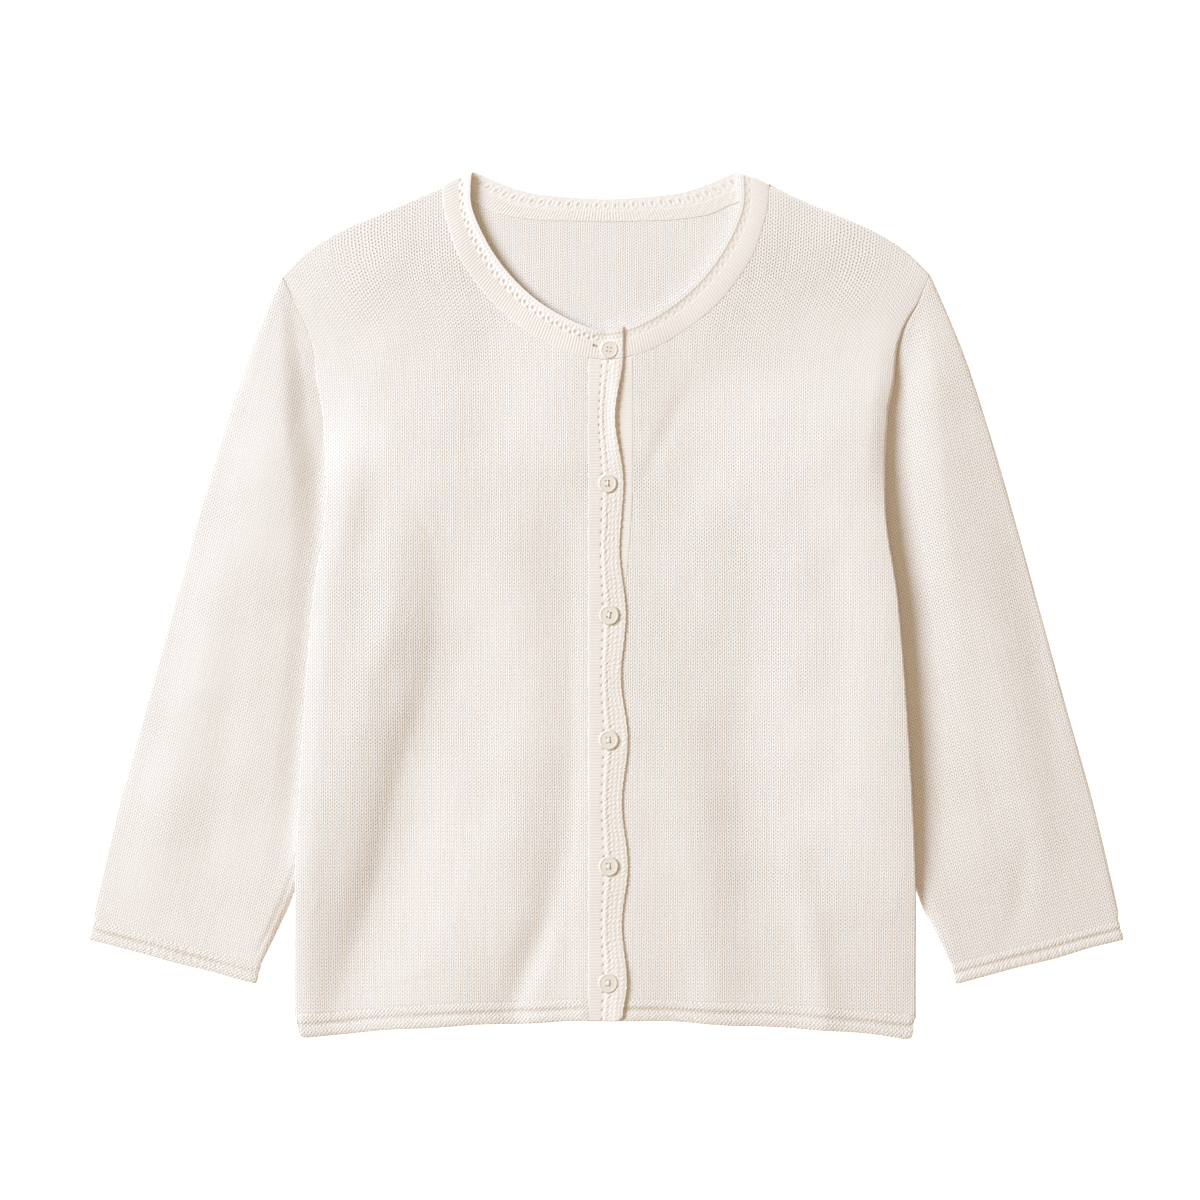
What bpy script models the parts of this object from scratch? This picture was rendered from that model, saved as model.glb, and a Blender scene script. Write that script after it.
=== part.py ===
"""Button cardigan laid flat on its back, with three-quarter sleeves folded down.

The garment lies on the XY plane. +Y runs to the neck, +Z comes out of the
front, and -X is the wearer's right side. Under each side of the body lies the
inner part of a sleeve, so the back and front panels climb over it.

Tables and lengths are in millimetres. Meshes are made in metres. Outline
tables are given for the +X half, and the other half mirrors them.
"""
import math

import bmesh
import bpy
import numpy as np

MM = 0.001
GARMENT = "button_cardigan"

# Cloth and seams
CLOTH = 1.6              # thickness of a knitted wall
SEAM_GAP = 0.3           # between pieces where they meet
FOLD_GAP = 0.55          # between the turned edge of the front and the back
AIR = 0.9                # least air between the back and the front beyond SEAM_GAP
FOLD_RADIUS = 4.0        # soft fold where the front turns down to the back

# Sleeves, as flattened tubes
SLEEVE_THICKNESS = 5.2   # both layers and the air between them
SLEEVE_DOME = 1.3        # how much the outer half of a sleeve stands up
BODY_OVER_SLEEVE = 5.9   # height of the back panel where it lies on a sleeve
LIFT_START = 12.0        # the body begins to come down this far past the sleeve
LIFT_RUN = 40.0          # and reaches the ground over this length
LIFT_TOP_Y = 192.0       # the body begins to climb here, below the shoulder point
LIFT_END_Y = -250.0      # and is down again here, above the hem

# Bands at the front opening
RIGHT_BAND_SEAM_X = -11.4    # buttonhole band, wearer's right, on top
LEFT_BAND_SEAM_X = 17.9      # button band, wearer's left, underneath
LEFT_BAND_FREE_X = -4.2
OVERLAP_RISE = 2.6           # how far the upper band lies above the lower one
BAND_TOP_Y = 158.2
NECKBAND_END_X = 12.0        # free end of the upper neckband
NECK_RIBS_RIGHT = 72         # ribs on each neckband piece, in fours
NECK_RIBS_LEFT = 64
NECK_RIBS_BACK = 88
RIB_HEIGHT = 0.5

# Trims and buttons
CUFF_HEIGHT = 13.0
BUTTON_RADIUS = 6.35
BUTTON_THICKNESS = 2.6
BUTTON_HOLE_RADIUS = 0.75
BUTTON_HOLE_SPACING = 1.45   # from the middle, along each diagonal's X and Y

# Outline tables: x, y
SHOULDER = [(106.3, 272.7), (133.6, 260.3), (164.8, 247.3), (180.4, 239.3), (196.0, 228.8), (210.9, 214.2)]
ARMHOLE = [(210.9, 214.2), (200.8, 195.5), (191.8, 181.5), (188.5, 165.0), (187.5, 146.0), (183.5, 126.0)]
SIDE = [(183.5, 126.0), (181.5, 90.0), (182.2, 52.0), (189.8, 0.0), (196.6, -88.0), (201.0, -175.0),
        (201.8, -266.8)]
NECK_SEAM = [(106.3, 272.7), (105.0, 257.0), (101.5, 243.0), (96.3, 228.0), (87.4, 213.0), (73.0, 195.3),
             (56.0, 181.0), (38.0, 169.5), (20.0, 162.0), (0.0, 159.0)]
NECK_EDGE = [(86.8, 280.4), (87.4, 263.0), (84.2, 250.6), (76.5, 234.5), (67.0, 220.0), (56.0, 207.6),
             (43.5, 196.6), (30.0, 188.0), (15.0, 181.0), (0.0, 178.0)]
BACK_NECK_SEAM = [(106.3, 272.7), (94.6, 264.9), (79.0, 258.4), (67.3, 253.2), (45.8, 249.9), (21.1, 249.0),
                  (0.0, 248.6)]
BACK_NECK_EDGE = [(86.8, 281.1), (81.6, 279.6), (68.6, 274.0), (55.6, 269.4), (42.6, 266.6), (16.6, 264.2),
                  (0.0, 263.5)]
SLEEVE_OUTER = [(210.9, 214.2), (218.1, 197.9), (231.7, 165.4), (242.8, 132.9), (262.3, 67.9), (298.0, -62.1),
                (316.2, -127.1), (331.5, -192.1), (333.0, -205.0)]
SLEEVE_INNER = [(113.4, 64.0), (156.0, -57.0), (199.2, -179.5), (209.6, -205.0), (223.6, -234.0)]
UNDERARM = (113.4, 64.0)
ARMHOLE_TURN = ARMHOLE[4]    # from here on the sleeve's end runs under the body
HEM_SEAM = [(0.0, -255.3), (61.0, -257.8), (123.0, -260.2), (170.0, -264.2), (201.8, -266.8)]
HEM_EDGE = [(0.0, -269.6), (61.0, -272.3), (123.0, -274.2), (170.0, -278.0), (186.0, -281.1), (195.0, -279.6),
            (201.8, -272.0)]

# Soft swells of the front: x, y of the middle, radius, height
SWELLS = [
    (-92.0, 238.0, 32.0, 3.6),
    (92.0, 238.0, 32.0, 2.8),
    (-198.0, 198.0, 42.0, 1.0),
    (198.0, 198.0, 42.0, 1.0),
    (-150.0, 236.0, 36.0, 0.9),
    (150.0, 236.0, 36.0, 0.9),
]

# Long folds of the front: x, y of one end, x, y of the other, half width, height
FOLDS = [
    (-92.0, 10.0, -92.0, -130.0, 26.0, 1.7),
    (-92.0, -130.0, -120.0, -240.0, 24.0, 1.4),
    (-150.0, 40.0, -160.0, -120.0, 24.0, 1.0),
    (-30.0, -60.0, -42.0, -200.0, 18.0, 0.8),
    (42.0, -10.0, 56.0, -130.0, 20.0, 1.5),
    (56.0, -130.0, 64.0, -240.0, 20.0, 1.3),
    (116.0, -150.0, 140.0, -245.0, 18.0, 1.2),
    (140.0, 60.0, 158.0, -110.0, 26.0, 1.4),
    (-60.0, 120.0, -110.0, 60.0, 30.0, 0.8),
    (70.0, 130.0, 110.0, 80.0, 30.0, 0.8),
]

# Buttons from the neck down: x, y, free edge of the upper band at the button,
# free edge half way to the next
BUTTONS = [
    (2.3, 165.2, 12.0, 6.2),
    (1.3, 78.4, 11.7, 9.2),
    (2.3, -6.8, 13.3, 10.1),
    (2.0, -87.8, 14.6, 10.7),
    (2.0, -169.6, 14.6, 10.7),
    (1.6, -245.3, 14.0, 10.9),
]

# Height of the trims above the cloth: share of the trim's width, height
TRIM_PROFILE = [(0.04, 0.0), (0.08, 0.6), (0.32, 0.7), (0.40, -0.3), (0.52, -0.3), (0.60, 0.7), (0.78, 1.2),
                (0.94, 0.7), (1.0, -0.4)]

# Front bands: share of the width from the seam, height above the cloth
BAND_PROFILE = [(0.0, 0.0), (0.03, 0.1), (0.38, 0.1), (0.45, -0.25), (0.62, -0.2), (0.72, 0.3), (0.94, 0.35),
                (1.0, -0.5)]

YARN = (0.86, 0.79, 0.70, 1.0)
BUTTON_COLOUR = (0.80, 0.73, 0.62, 1.0)


# Curves in the plane --------------------------------------------------------

class SmoothPath:
    """A smooth curve through points in the plane, read by its share of length."""

    STEPS = 12

    def __init__(self, points, shift=0.0):
        points = np.array(points, dtype=float)
        ends = np.vstack([2 * points[0] - points[1], points, 2 * points[-1] - points[-2]])
        t = np.linspace(0.0, 1.0, self.STEPS, endpoint=False)[:, None]
        runs = []
        for a, b, c, d in zip(ends, ends[1:], ends[2:], ends[3:]):
            runs.append(0.5 * (2 * b + (c - a) * t + (2 * a - 5 * b + 4 * c - d) * t ** 2
                               + (3 * b - a - 3 * c + d) * t ** 3))
        self.line = np.vstack(runs + [points[-1:]])
        if shift:
            along = np.gradient(self.line, axis=0)
            along /= np.linalg.norm(along, axis=1)[:, None]
            self.line = self.line + shift * np.stack([-along[:, 1], along[:, 0]], axis=1)
        steps = np.hypot(*np.diff(self.line, axis=0).T)
        self.travel = np.concatenate([[0.0], np.cumsum(steps)])

    def __call__(self, share):
        s = share * self.travel[-1]
        return np.array([np.interp(s, self.travel, self.line[:, k]) for k in (0, 1)])

    def share_at_x(self, x):
        """Share of length at which a curve that runs along X passes x."""
        s = np.interp(x, self.line[:, 0], self.travel)
        return s / self.travel[-1]


def mirrored(table):
    """The table's curve from the -X side through the middle to the +X side."""
    left = [(-x, y) for x, y in table]
    return left + [(x, y) for x, y in reversed(table[:-1])]


def sided(table, side):
    return [(side * x, y) for x, y in table]


def stretch(curve, start, end):
    """The part of a curve between two shares."""
    return lambda t: curve(start + (end - start) * t)


def joined(first, second, split):
    """Two curves end to end; the first takes the shares up to split."""
    return lambda t: first(t / split) if t < split else second((t - split) / (1.0 - split))


def straight(a, b):
    a, b = np.array(a, dtype=float), np.array(b, dtype=float)
    return lambda t: a + (b - a) * t


def patch(inner, outer, top, bottom, us, vs):
    """Points of a sheet stretched between four boundary curves."""
    rows = []
    for v in vs:
        row = []
        for u in us:
            across = (1 - u) * inner(v) + u * outer(v)
            down = (1 - v) * top(u) + v * bottom(u)
            corners = ((1 - u) * (1 - v) * inner(0) + u * (1 - v) * outer(0)
                       + (1 - u) * v * inner(1) + u * v * outer(1))
            row.append(across + down - corners)
        rows.append(row)
    return np.array(rows)


# Heights --------------------------------------------------------------------

def ease(t):
    t = min(max(t, 0.0), 1.0)
    return t * t * (3.0 - 2.0 * t)


def roll(distance, radius=FOLD_RADIUS):
    """Share of the full height at a distance from a rolled edge."""
    q = min(max(distance / radius, 0.0), 1.0)
    return math.sqrt(1.0 - (1.0 - q) ** 2)


def lift(x, y):
    """Height of the ground under the body, which a hidden sleeve raises."""
    px, py = abs(x) - UNDERARM[0], y - UNDERARM[1]
    down = np.subtract(SLEEVE_INNER[2], UNDERARM)
    down = down / np.linalg.norm(down)
    up = np.subtract(ARMHOLE_TURN, UNDERARM)
    up = up / np.linalg.norm(up)
    past_side = px * down[1] - py * down[0]
    past_end = -px * up[1] + py * up[0]
    past = math.hypot(max(past_side, 0.0), max(past_end, 0.0)) + min(max(past_side, past_end), 0.0)
    height = BODY_OVER_SLEEVE * (1.0 - ease((past - LIFT_START) / LIFT_RUN))
    near_shoulder = ease((LIFT_TOP_Y - y) / 42.0)
    near_hem = ease((y - LIFT_END_Y) / 65.0)
    return height * near_shoulder * near_hem


def back_height(x, y):
    """Upper face of the back."""
    return lift(x, y) + CLOTH


def fold_height(x, y):
    """Swells and long folds of the front, above its lowest lie."""
    total = 0.0
    for cx, cy, radius, height in SWELLS:
        total += height * math.exp(-((x - cx) ** 2 + (y - cy) ** 2) / radius ** 2)
    for x0, y0, x1, y1, width, height in FOLDS:
        run = math.hypot(x1 - x0, y1 - y0)
        ux, uy = (x1 - x0) / run, (y1 - y0) / run
        along = (x - x0) * ux + (y - y0) * uy
        across = (x - x0) * uy - (y - y0) * ux
        beyond = max(-along, along - run, 0.0)
        total += height * math.exp(-(across / width) ** 2 - (beyond / (1.3 * width)) ** 2)
    return total


def front_height(x, y, side):
    """Upper face of the front; side is -1 for the wearer's right."""
    height = back_height(x, y) + SEAM_GAP + AIR + CLOTH + fold_height(x, y)
    if side < 0:
        height += OVERLAP_RISE * ease((x + 32.0) / 24.0)
    return height


# Solids ---------------------------------------------------------------------

def material(name, colour, roughness):
    made = bpy.data.materials.new(name)
    made.use_nodes = True
    shader = made.node_tree.nodes["Principled BSDF"]
    shader.inputs["Base Color"].default_value = colour
    shader.inputs["Roughness"].default_value = roughness
    shader.inputs["Metallic"].default_value = 0.0
    return made


def add_object(name, mesh_tool, collection, finish, crease=50.0):
    """Turn a bmesh into a named object of the garment, smooth below the crease angle."""
    mesh = bpy.data.meshes.new(name)
    mesh_tool.to_mesh(mesh)
    mesh_tool.free()
    mesh.materials.append(finish)
    mesh.shade_smooth()
    mesh.set_sharp_from_angle(angle=math.radians(crease))
    made = bpy.data.objects.new(name, mesh)
    collection.objects.link(made)
    return made


def cloth_wall(name, points, collection, finish, face_up=True):
    """A wall CLOTH thick under the outer surface given as rows of points."""
    tool = bmesh.new()
    grid = [[tool.verts.new(np.array(p) * MM) for p in row] for row in points]
    for upper, lower in zip(grid, grid[1:]):
        for i in range(len(upper) - 1):
            corners = [upper[i], lower[i], lower[i + 1], upper[i + 1]]
            tool.faces.new(corners if face_up else corners[::-1])
    made = add_object(name, tool, collection, finish)
    wall = made.modifiers.new("cloth", "SOLIDIFY")
    wall.thickness = CLOTH * MM
    wall.offset = -1.0
    return made


def loft(name, sections, collection, finish, ring=False):
    """A solid through closed sections; a ring joins the last to the first."""
    tool = bmesh.new()
    loops = [[tool.verts.new(np.array(p) * MM) for p in section] for section in sections]
    size = len(loops[0])
    pairs = list(zip(loops, loops[1:]))
    if ring:
        pairs.append((loops[-1], loops[0]))
    for a, b in pairs:
        for i in range(size):
            j = (i + 1) % size
            tool.faces.new([a[i], a[j], b[j], b[i]])
    if not ring:
        tool.faces.new(loops[0][::-1])
        tool.faces.new(loops[-1])
    bmesh.ops.recalc_face_normals(tool, faces=tool.faces)
    return add_object(name, tool, collection, finish)


# Panels ---------------------------------------------------------------------

def front_outline(side):
    """Inner, outer, top and bottom boundary of a front panel."""
    seam = SmoothPath(mirrored(NECK_SEAM), shift=-SEAM_GAP)
    seam_x = RIGHT_BAND_SEAM_X - SEAM_GAP if side < 0 else LEFT_BAND_SEAM_X + SEAM_GAP
    neck_end = seam.share_at_x(seam_x)
    neck = stretch(seam, 0.0 if side < 0 else 1.0, neck_end)
    edge = straight(seam(neck_end), (seam_x, hem_seam_y(seam_x)))
    inner = joined(neck, edge, 0.3)
    outer = joined(SmoothPath(sided(ARMHOLE, side), shift=-side * SEAM_GAP / 2),
                   SmoothPath(sided(SIDE, side)), 0.3)
    start, corner = inner(0.0), outer(0.0)
    shoulder = SmoothPath([start] + sided(SHOULDER[1:-1], side) + [corner])
    hem_end = outer(1.0)

    def bottom(u):
        x = seam_x + (hem_end[0] - seam_x) * u
        return np.array([x, hem_seam_y(x)])

    return inner, outer, shoulder, bottom


def hem_seam_y(x):
    """Where a panel meets its hem trim."""
    seam = SmoothPath(HEM_SEAM)
    return seam(seam.share_at_x(abs(x)))[1]


def hem_edge_y(x):
    """Lower edge of the hem trim, rounded at its corner."""
    edge = SmoothPath(HEM_EDGE)
    return edge(edge.share_at_x(abs(x)))[1]


def side_low(x, y):
    """Height of the front's outer edge: level with the sleeve at the seam, else down on the back."""
    on_back = back_height(x, y) + FOLD_GAP
    return max(on_back, SLEEVE_THICKNESS + 0.1) if y > ARMHOLE[-1][1] else on_back


def make_front(name, side, collection, finish):
    inner, outer, top, bottom = front_outline(side)
    us = [0.0, 0.07, 0.15, 0.24, 0.34, 0.44, 0.54, 0.64, 0.74, 0.84, 0.92, 0.974, 0.994, 1.0]
    neck_rows = [0.0, 0.002, 0.008, 0.03, 0.06, 0.09, 0.12, 0.15, 0.18, 0.21, 0.24, 0.27, 0.3]
    body_rows = [0.3 + 0.7 * k / 18 for k in range(1, 19)]
    plan = patch(inner, outer, top, bottom, us, neck_rows + body_rows)
    rows = []
    for line in plan:
        row = []
        for k, (x, y) in enumerate(line):
            from_shoulder = np.hypot(*(np.array([x, y]) - plan[0][k]))
            from_side = np.hypot(*(np.array([x, y]) - line[-1]))
            shoulder_low = back_height(x, y) + FOLD_GAP
            edge_low = side_low(x, y)
            high = edge_low + (front_height(x, y, side) - edge_low) * roll(from_side)
            row.append((x, y, shoulder_low + (high - shoulder_low) * roll(from_shoulder)))
        rows.append(row)
    return cloth_wall(name, rows, collection, finish, face_up=side < 0)


def make_back(collection, finish):
    def edge(side):
        return joined(SmoothPath(sided(ARMHOLE, side), shift=-side * SEAM_GAP / 2),
                      SmoothPath(sided(SIDE, side)), 0.3)

    left, right = edge(-1), edge(1)
    neck = SmoothPath(mirrored(BACK_NECK_SEAM), shift=-SEAM_GAP)
    left_shoulder = SmoothPath([left(0.0)] + sided(SHOULDER[1:-1], -1)[::-1] + [neck(0.0)])
    right_shoulder = SmoothPath([neck(1.0)] + SHOULDER[1:-1] + [right(0.0)])
    shoulder_share = 0.26
    neck_share = 1.0 - 2 * shoulder_share
    top = joined(left_shoulder, joined(neck, right_shoulder, neck_share / (1.0 - shoulder_share)),
                 shoulder_share)

    def bottom(u):
        x = left(1.0)[0] * (1.0 - 2.0 * u)
        return np.array([x, hem_seam_y(x)])

    neck_columns = NECK_RIBS_BACK // 4
    side_columns = [0.0, 0.04, 0.09, 0.14, 0.20]
    us = (side_columns + [shoulder_share + neck_share * k / neck_columns for k in range(neck_columns + 1)]
          + [1.0 - u for u in reversed(side_columns)])
    vs = [0.0, 0.03, 0.06, 0.09, 0.12, 0.15, 0.18, 0.22, 0.26, 0.30, 0.35, 0.40, 0.46, 0.53, 0.61, 0.69, 0.77,
          0.84, 0.89, 0.94, 1.0]
    plan = patch(left, right, top, bottom, us, vs)
    rows = [[(x, y, lift(x, y)) for x, y in line] for line in plan]
    return cloth_wall("back_panel", rows, collection, finish, face_up=False)


# Sleeves and cuffs ----------------------------------------------------------

SLEEVE_ACROSS = [0.0, 0.007, 0.024, 0.07, 0.12, 0.18, 0.24, 0.30, 0.42, 0.56, 0.72, 0.88, 0.976, 0.993, 1.0]
SLEEVE_DOWN = [0.0, 0.05, 0.11, 0.18, 0.27, 0.37, 0.48, 0.60, 0.72, 0.83, 0.92, 1.0]
DOME_SHARE = 0.55        # the outer share of a sleeve's width that stands up


def sleeve_plan(side):
    """Plan of a sleeve: share across from the outer fold, share down from the armhole."""
    outer = SmoothPath(sided(SLEEVE_OUTER, side))
    inner = SmoothPath(sided(SLEEVE_INNER, side))
    turn = SmoothPath(sided(ARMHOLE[:5], side), shift=side * SEAM_GAP)
    end = joined(turn, straight(turn(1.0), (side * UNDERARM[0], UNDERARM[1])), 0.3)

    def place(across, down):
        flat = outer(down) + (inner(down) - outer(down)) * across
        bow = end(across) - (end(0.0) + (end(1.0) - end(0.0)) * across)
        return flat + bow * (1.0 - down) ** 3

    return place


def sleeve_ring(place, down, inset):
    """Points round a flattened sleeve, inset from its outer face: over the top, then back underneath."""
    radius = SLEEVE_THICKNESS / 2 - inset
    width = np.linalg.norm(place(1.0, down) - place(0.0, down))
    upper, lower = [], []
    for across in SLEEVE_ACROSS:
        x, y = place(inset / width + across * (1.0 - 2 * inset / width), down)
        bulge = radius * roll(min(across, 1.0 - across) * width, radius)
        dome = 0.0
        if across < DOME_SHARE:
            dome = (SLEEVE_DOME * math.sin(math.pi * across / DOME_SHARE) ** 2
                    * ease(down / 0.15) * ease((1.0 - down) / 0.2))
        upper.append((x, y, SLEEVE_THICKNESS / 2 + bulge + dome))
        lower.append((x, y, SLEEVE_THICKNESS / 2 - bulge))
    return upper + lower[-2:0:-1]


def make_sleeve(name, side, collection, finish):
    """A tube open at the cuff and at the armhole."""
    place = sleeve_plan(side)
    outside = [sleeve_ring(place, down, 0.0) for down in SLEEVE_DOWN]
    inside = [sleeve_ring(place, down, CLOTH) for down in SLEEVE_DOWN]
    return loft(name, outside + inside[::-1], collection, finish, ring=True)


def make_cuff(name, side, collection, finish):
    place = sleeve_plan(side)
    ring = np.array(sleeve_ring(place, 1.0, 0.0))
    line = place(0.0, 1.0) - place(1.0, 1.0)
    line = line / np.linalg.norm(line)
    away = side * np.array([line[1], -line[0]])
    middle = SLEEVE_THICKNESS / 2
    count = len(ring)
    sections = []
    for k, (x, y, z) in enumerate(ring):
        before, after = ring[k - 1], ring[(k + 1) % count]
        tangent = np.array([np.dot((after - before)[:2], line), (after - before)[2]])
        tangent = tangent / np.linalg.norm(tangent)
        out = np.array([tangent[1], -tangent[0]])
        centre = place(0.5, 1.0)
        if out[0] * np.dot(np.array([x, y]) - centre, line) + out[1] * (z - middle) < 0:
            out = -out

        def point(share, height):
            flat = np.array([x, y]) + away * CUFF_HEIGHT * share + line * out[0] * height
            return flat[0], flat[1], max(z + out[1] * height, 0.0)

        outside = [point(share, height) for share, height in TRIM_PROFILE]
        inside = [point(0.97, -CLOTH), point(0.04, -CLOTH)]
        sections.append(outside + inside)
    return loft(name, sections, collection, finish, ring=True)


# Hem trims ------------------------------------------------------------------

def hem_stations(inner_x, outer_x, count):
    """Places along a hem, closer together at the side."""
    shares = [1.0 - (1.0 - k / count) ** 1.5 for k in range(count + 1)]
    return [inner_x + (outer_x - inner_x) * share for share in shares]


def make_front_hem(name, side, inner_x, collection, finish):
    outer_x = side * SIDE[-1][0]
    sections = []
    for x in hem_stations(inner_x, outer_x, 15):
        top_y, low_y = hem_seam_y(x), hem_edge_y(x)
        floor = back_height(x, top_y) + SEAM_GAP + 0.6
        turned = 0.35 + 0.65 * roll(abs(outer_x - x))
        surface = floor + (front_height(x, top_y, side) - floor) * turned
        inside = max(surface - CLOTH, floor)
        surface = max(surface, inside + 1.0)
        outside = [(x, top_y + (low_y - top_y) * share, surface + height * turned)
                   for share, height in TRIM_PROFILE]
        sections.append(outside + [(x, top_y + (low_y - top_y) * share, inside) for share in (0.97, 0.04)])
    return loft(name, sections, collection, finish)


def make_back_hem(collection, finish):
    outer_x = SIDE[-1][0]
    half = hem_stations(0.0, outer_x, 9)
    sections = []
    for x in [-x for x in reversed(half[1:])] + half:
        top_y, low_y = hem_seam_y(x), hem_edge_y(x)
        depth = top_y - low_y
        profile = [(0.03, 0.0), (0.03, CLOTH), (0.2, 2.1), (0.85, 2.1), (0.98, 1.5), (0.98, 0.5), (0.92, 0.0)]
        sections.append([(x, top_y - depth * share, z) for share, z in profile])
    return loft("hem_back", sections, collection, finish)


# Neckband -------------------------------------------------------------------

def rib_band(name, seam, edge, ribs, surface, floor, collection, finish):
    """A band with ribs raised along its seam side and a soft roll at its edge.

    seam and edge are its long sides, from one end to the other; surface and
    floor give the height of its upper and lower face. The ribs stand on fine
    points, and everything else has one point for every four ribs.
    """
    rib_share = 0.62
    coarse_shares = [(0.70, -0.25), (0.84, 0.5), (0.96, 0.3), (1.0, -0.5)]
    step = 8
    fine_count = 2 * ribs
    tool = bmesh.new()

    def at(t, q):
        return seam(t) * (1.0 - q) + edge(t) * q

    def vertex(t, q, height, under=False):
        x, y = at(t, q)
        top = surface(x, y, t)
        low = max(top - CLOTH, floor(x, y))
        z = low if under else max(top + height, low + 0.6)
        return tool.verts.new((x * MM, y * MM, z * MM))

    fine = [[], []]
    for k in range(fine_count + 1):
        t = k / fine_count
        height = RIB_HEIGHT if k % 2 else 0.0
        fine[0].append(vertex(t, 0.0, height))
        fine[1].append(vertex(t, rib_share, height))
    coarse = []
    for k in range(0, fine_count + 1, step):
        t = k / fine_count
        loop = [vertex(t, q, height) for q, height in coarse_shares]
        loop += [vertex(t, 0.97, 0.0, under=True), vertex(t, 0.0, 0.0, under=True)]
        coarse.append(loop)

    for k in range(fine_count):
        tool.faces.new([fine[0][k], fine[0][k + 1], fine[1][k + 1], fine[1][k]])
    for c, (a, b) in enumerate(zip(coarse, coarse[1:])):
        span = range(c * step, (c + 1) * step + 1)
        tool.faces.new([fine[1][k] for k in span] + [b[0], a[0]])
        tool.faces.new([fine[0][k] for k in reversed(span)] + [a[-1], b[-1]])
        for i in range(len(a) - 1):
            tool.faces.new([a[i], b[i], b[i + 1], a[i + 1]])
    for loop, k in ((coarse[0], 0), (coarse[-1], fine_count)):
        tool.faces.new([fine[0][k], fine[1][k]] + loop)
    bmesh.ops.triangulate(tool, faces=tool.faces)
    bmesh.ops.recalc_face_normals(tool, faces=tool.faces)
    return add_object(name, tool, collection, finish, crease=25.0)


def make_front_neckband(name, side, free_x, ribs, collection, finish):
    seam_curve = SmoothPath(mirrored(NECK_SEAM), shift=SEAM_GAP / 2)
    edge_curve = SmoothPath(mirrored(NECK_EDGE))
    start = 0.0 if side < 0 else 1.0
    end = seam_curve.share_at_x(free_x)
    length = abs(end - start) * seam_curve.travel[-1]
    seam = stretch(seam_curve, start, end)
    edge = stretch(edge_curve, start, edge_curve.share_at_x(free_x))

    def floor(x, y):
        return back_height(x, y) + SEAM_GAP + RIB_HEIGHT

    def surface(x, y, t):
        low = floor(x, y) + 0.6
        return low + (front_height(x, y, side) - low) * roll(t * length)

    return rib_band(name, seam, edge, ribs, surface, floor, collection, finish)


def make_back_neckband(collection, finish):
    seam = SmoothPath(mirrored(BACK_NECK_SEAM), shift=SEAM_GAP / 2)
    edge = SmoothPath(mirrored(BACK_NECK_EDGE))

    def surface(x, y, t):
        return CLOTH

    def floor(x, y):
        return 0.0

    return rib_band("neckband_back", seam, edge, NECK_RIBS_BACK, surface, floor, collection, finish)


# Front bands and buttons ----------------------------------------------------

def band_edge_x(y):
    """Free edge of the upper band, which swings out at each button."""
    marks = []
    for k, (x, centre_y, at_button, below) in enumerate(BUTTONS):
        marks.append((centre_y, at_button))
        next_y = BUTTONS[k + 1][1] if k + 1 < len(BUTTONS) else centre_y - 50.0
        marks.append(((centre_y + next_y) / 2, below))
    if y >= marks[0][0]:
        return marks[0][1]
    for (y0, x0), (y1, x1) in zip(marks, marks[1:]):
        if y >= y1:
            return x0 + (x1 - x0) * ease((y0 - y) / (y0 - y1))
    return marks[-1][1]


def make_band(name, side, seam_x, free_x, collection, finish):
    """A front band; free_x gives the free edge at a height."""
    rows = 32
    sections = []
    for k in range(rows + 1):
        y = BAND_TOP_Y + (HEM_EDGE[0][1] - BAND_TOP_Y) * k / rows
        width = free_x(y) - seam_x
        section = []
        for share, height in BAND_PROFILE:
            x = seam_x + width * share
            section.append((x, y, front_height(x, y, side) + height))
        for share in (0.97, 0.0):
            x = seam_x + width * share
            section.append((x, y, front_height(x, y, side) - CLOTH))
        sections.append(section)
    return loft(name, sections, collection, finish)


def make_button(name, x, y, collection, finish):
    """A turned button with a raised rim, a dished middle and four holes."""
    resting = max(front_height(x + BUTTON_RADIUS * math.cos(a), y + BUTTON_RADIUS * math.sin(a), -1)
                  for a in np.linspace(0.0, 2 * math.pi, 12))
    base = resting + RIB_HEIGHT + SEAM_GAP
    top = BUTTON_THICKNESS
    profile = [(0.0, top - 0.9), (3.6, top - 0.8), (4.7, top - 0.15), (5.4, top), (BUTTON_RADIUS, top - 0.7),
               (BUTTON_RADIUS, 0.7), (5.2, 0.0), (0.0, 0.0)]
    tool = bmesh.new()
    verts = [tool.verts.new((r * MM, 0.0, z * MM)) for r, z in profile]
    edges = [tool.edges.new(pair) for pair in zip(verts, verts[1:])]
    bmesh.ops.spin(tool, geom=verts + edges, cent=(0, 0, 0), axis=(0, 0, 1), angle=2 * math.pi, steps=16,
                   use_merge=True)
    bmesh.ops.remove_doubles(tool, verts=tool.verts, dist=0.00001)
    bmesh.ops.recalc_face_normals(tool, faces=tool.faces)
    made = add_object(name, tool, collection, finish)
    made.location = (x * MM, y * MM, base * MM)
    for sx in (-1, 1):
        for sy in (-1, 1):
            cutter = hole_cutter(name + "_hole", x + sx * BUTTON_HOLE_SPACING, y + sy * BUTTON_HOLE_SPACING, base)
            cut = made.modifiers.new("hole", "BOOLEAN")
            cut.operation = "DIFFERENCE"
            cut.object = cutter
    return made


def hole_cutter(name, x, y, base):
    tool = bmesh.new()
    bmesh.ops.create_cone(tool, cap_ends=True, segments=8, radius1=BUTTON_HOLE_RADIUS * MM,
                          radius2=BUTTON_HOLE_RADIUS * MM, depth=3 * BUTTON_THICKNESS * MM)
    mesh = bpy.data.meshes.new(name)
    tool.to_mesh(mesh)
    tool.free()
    cutter = bpy.data.objects.new(name, mesh)
    cutter.location = (x * MM, y * MM, (base + BUTTON_THICKNESS / 2) * MM)
    cutter.hide_render = True
    cutter.display_type = "WIRE"
    bpy.data.collections["cutters"].objects.link(cutter)
    return cutter


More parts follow.
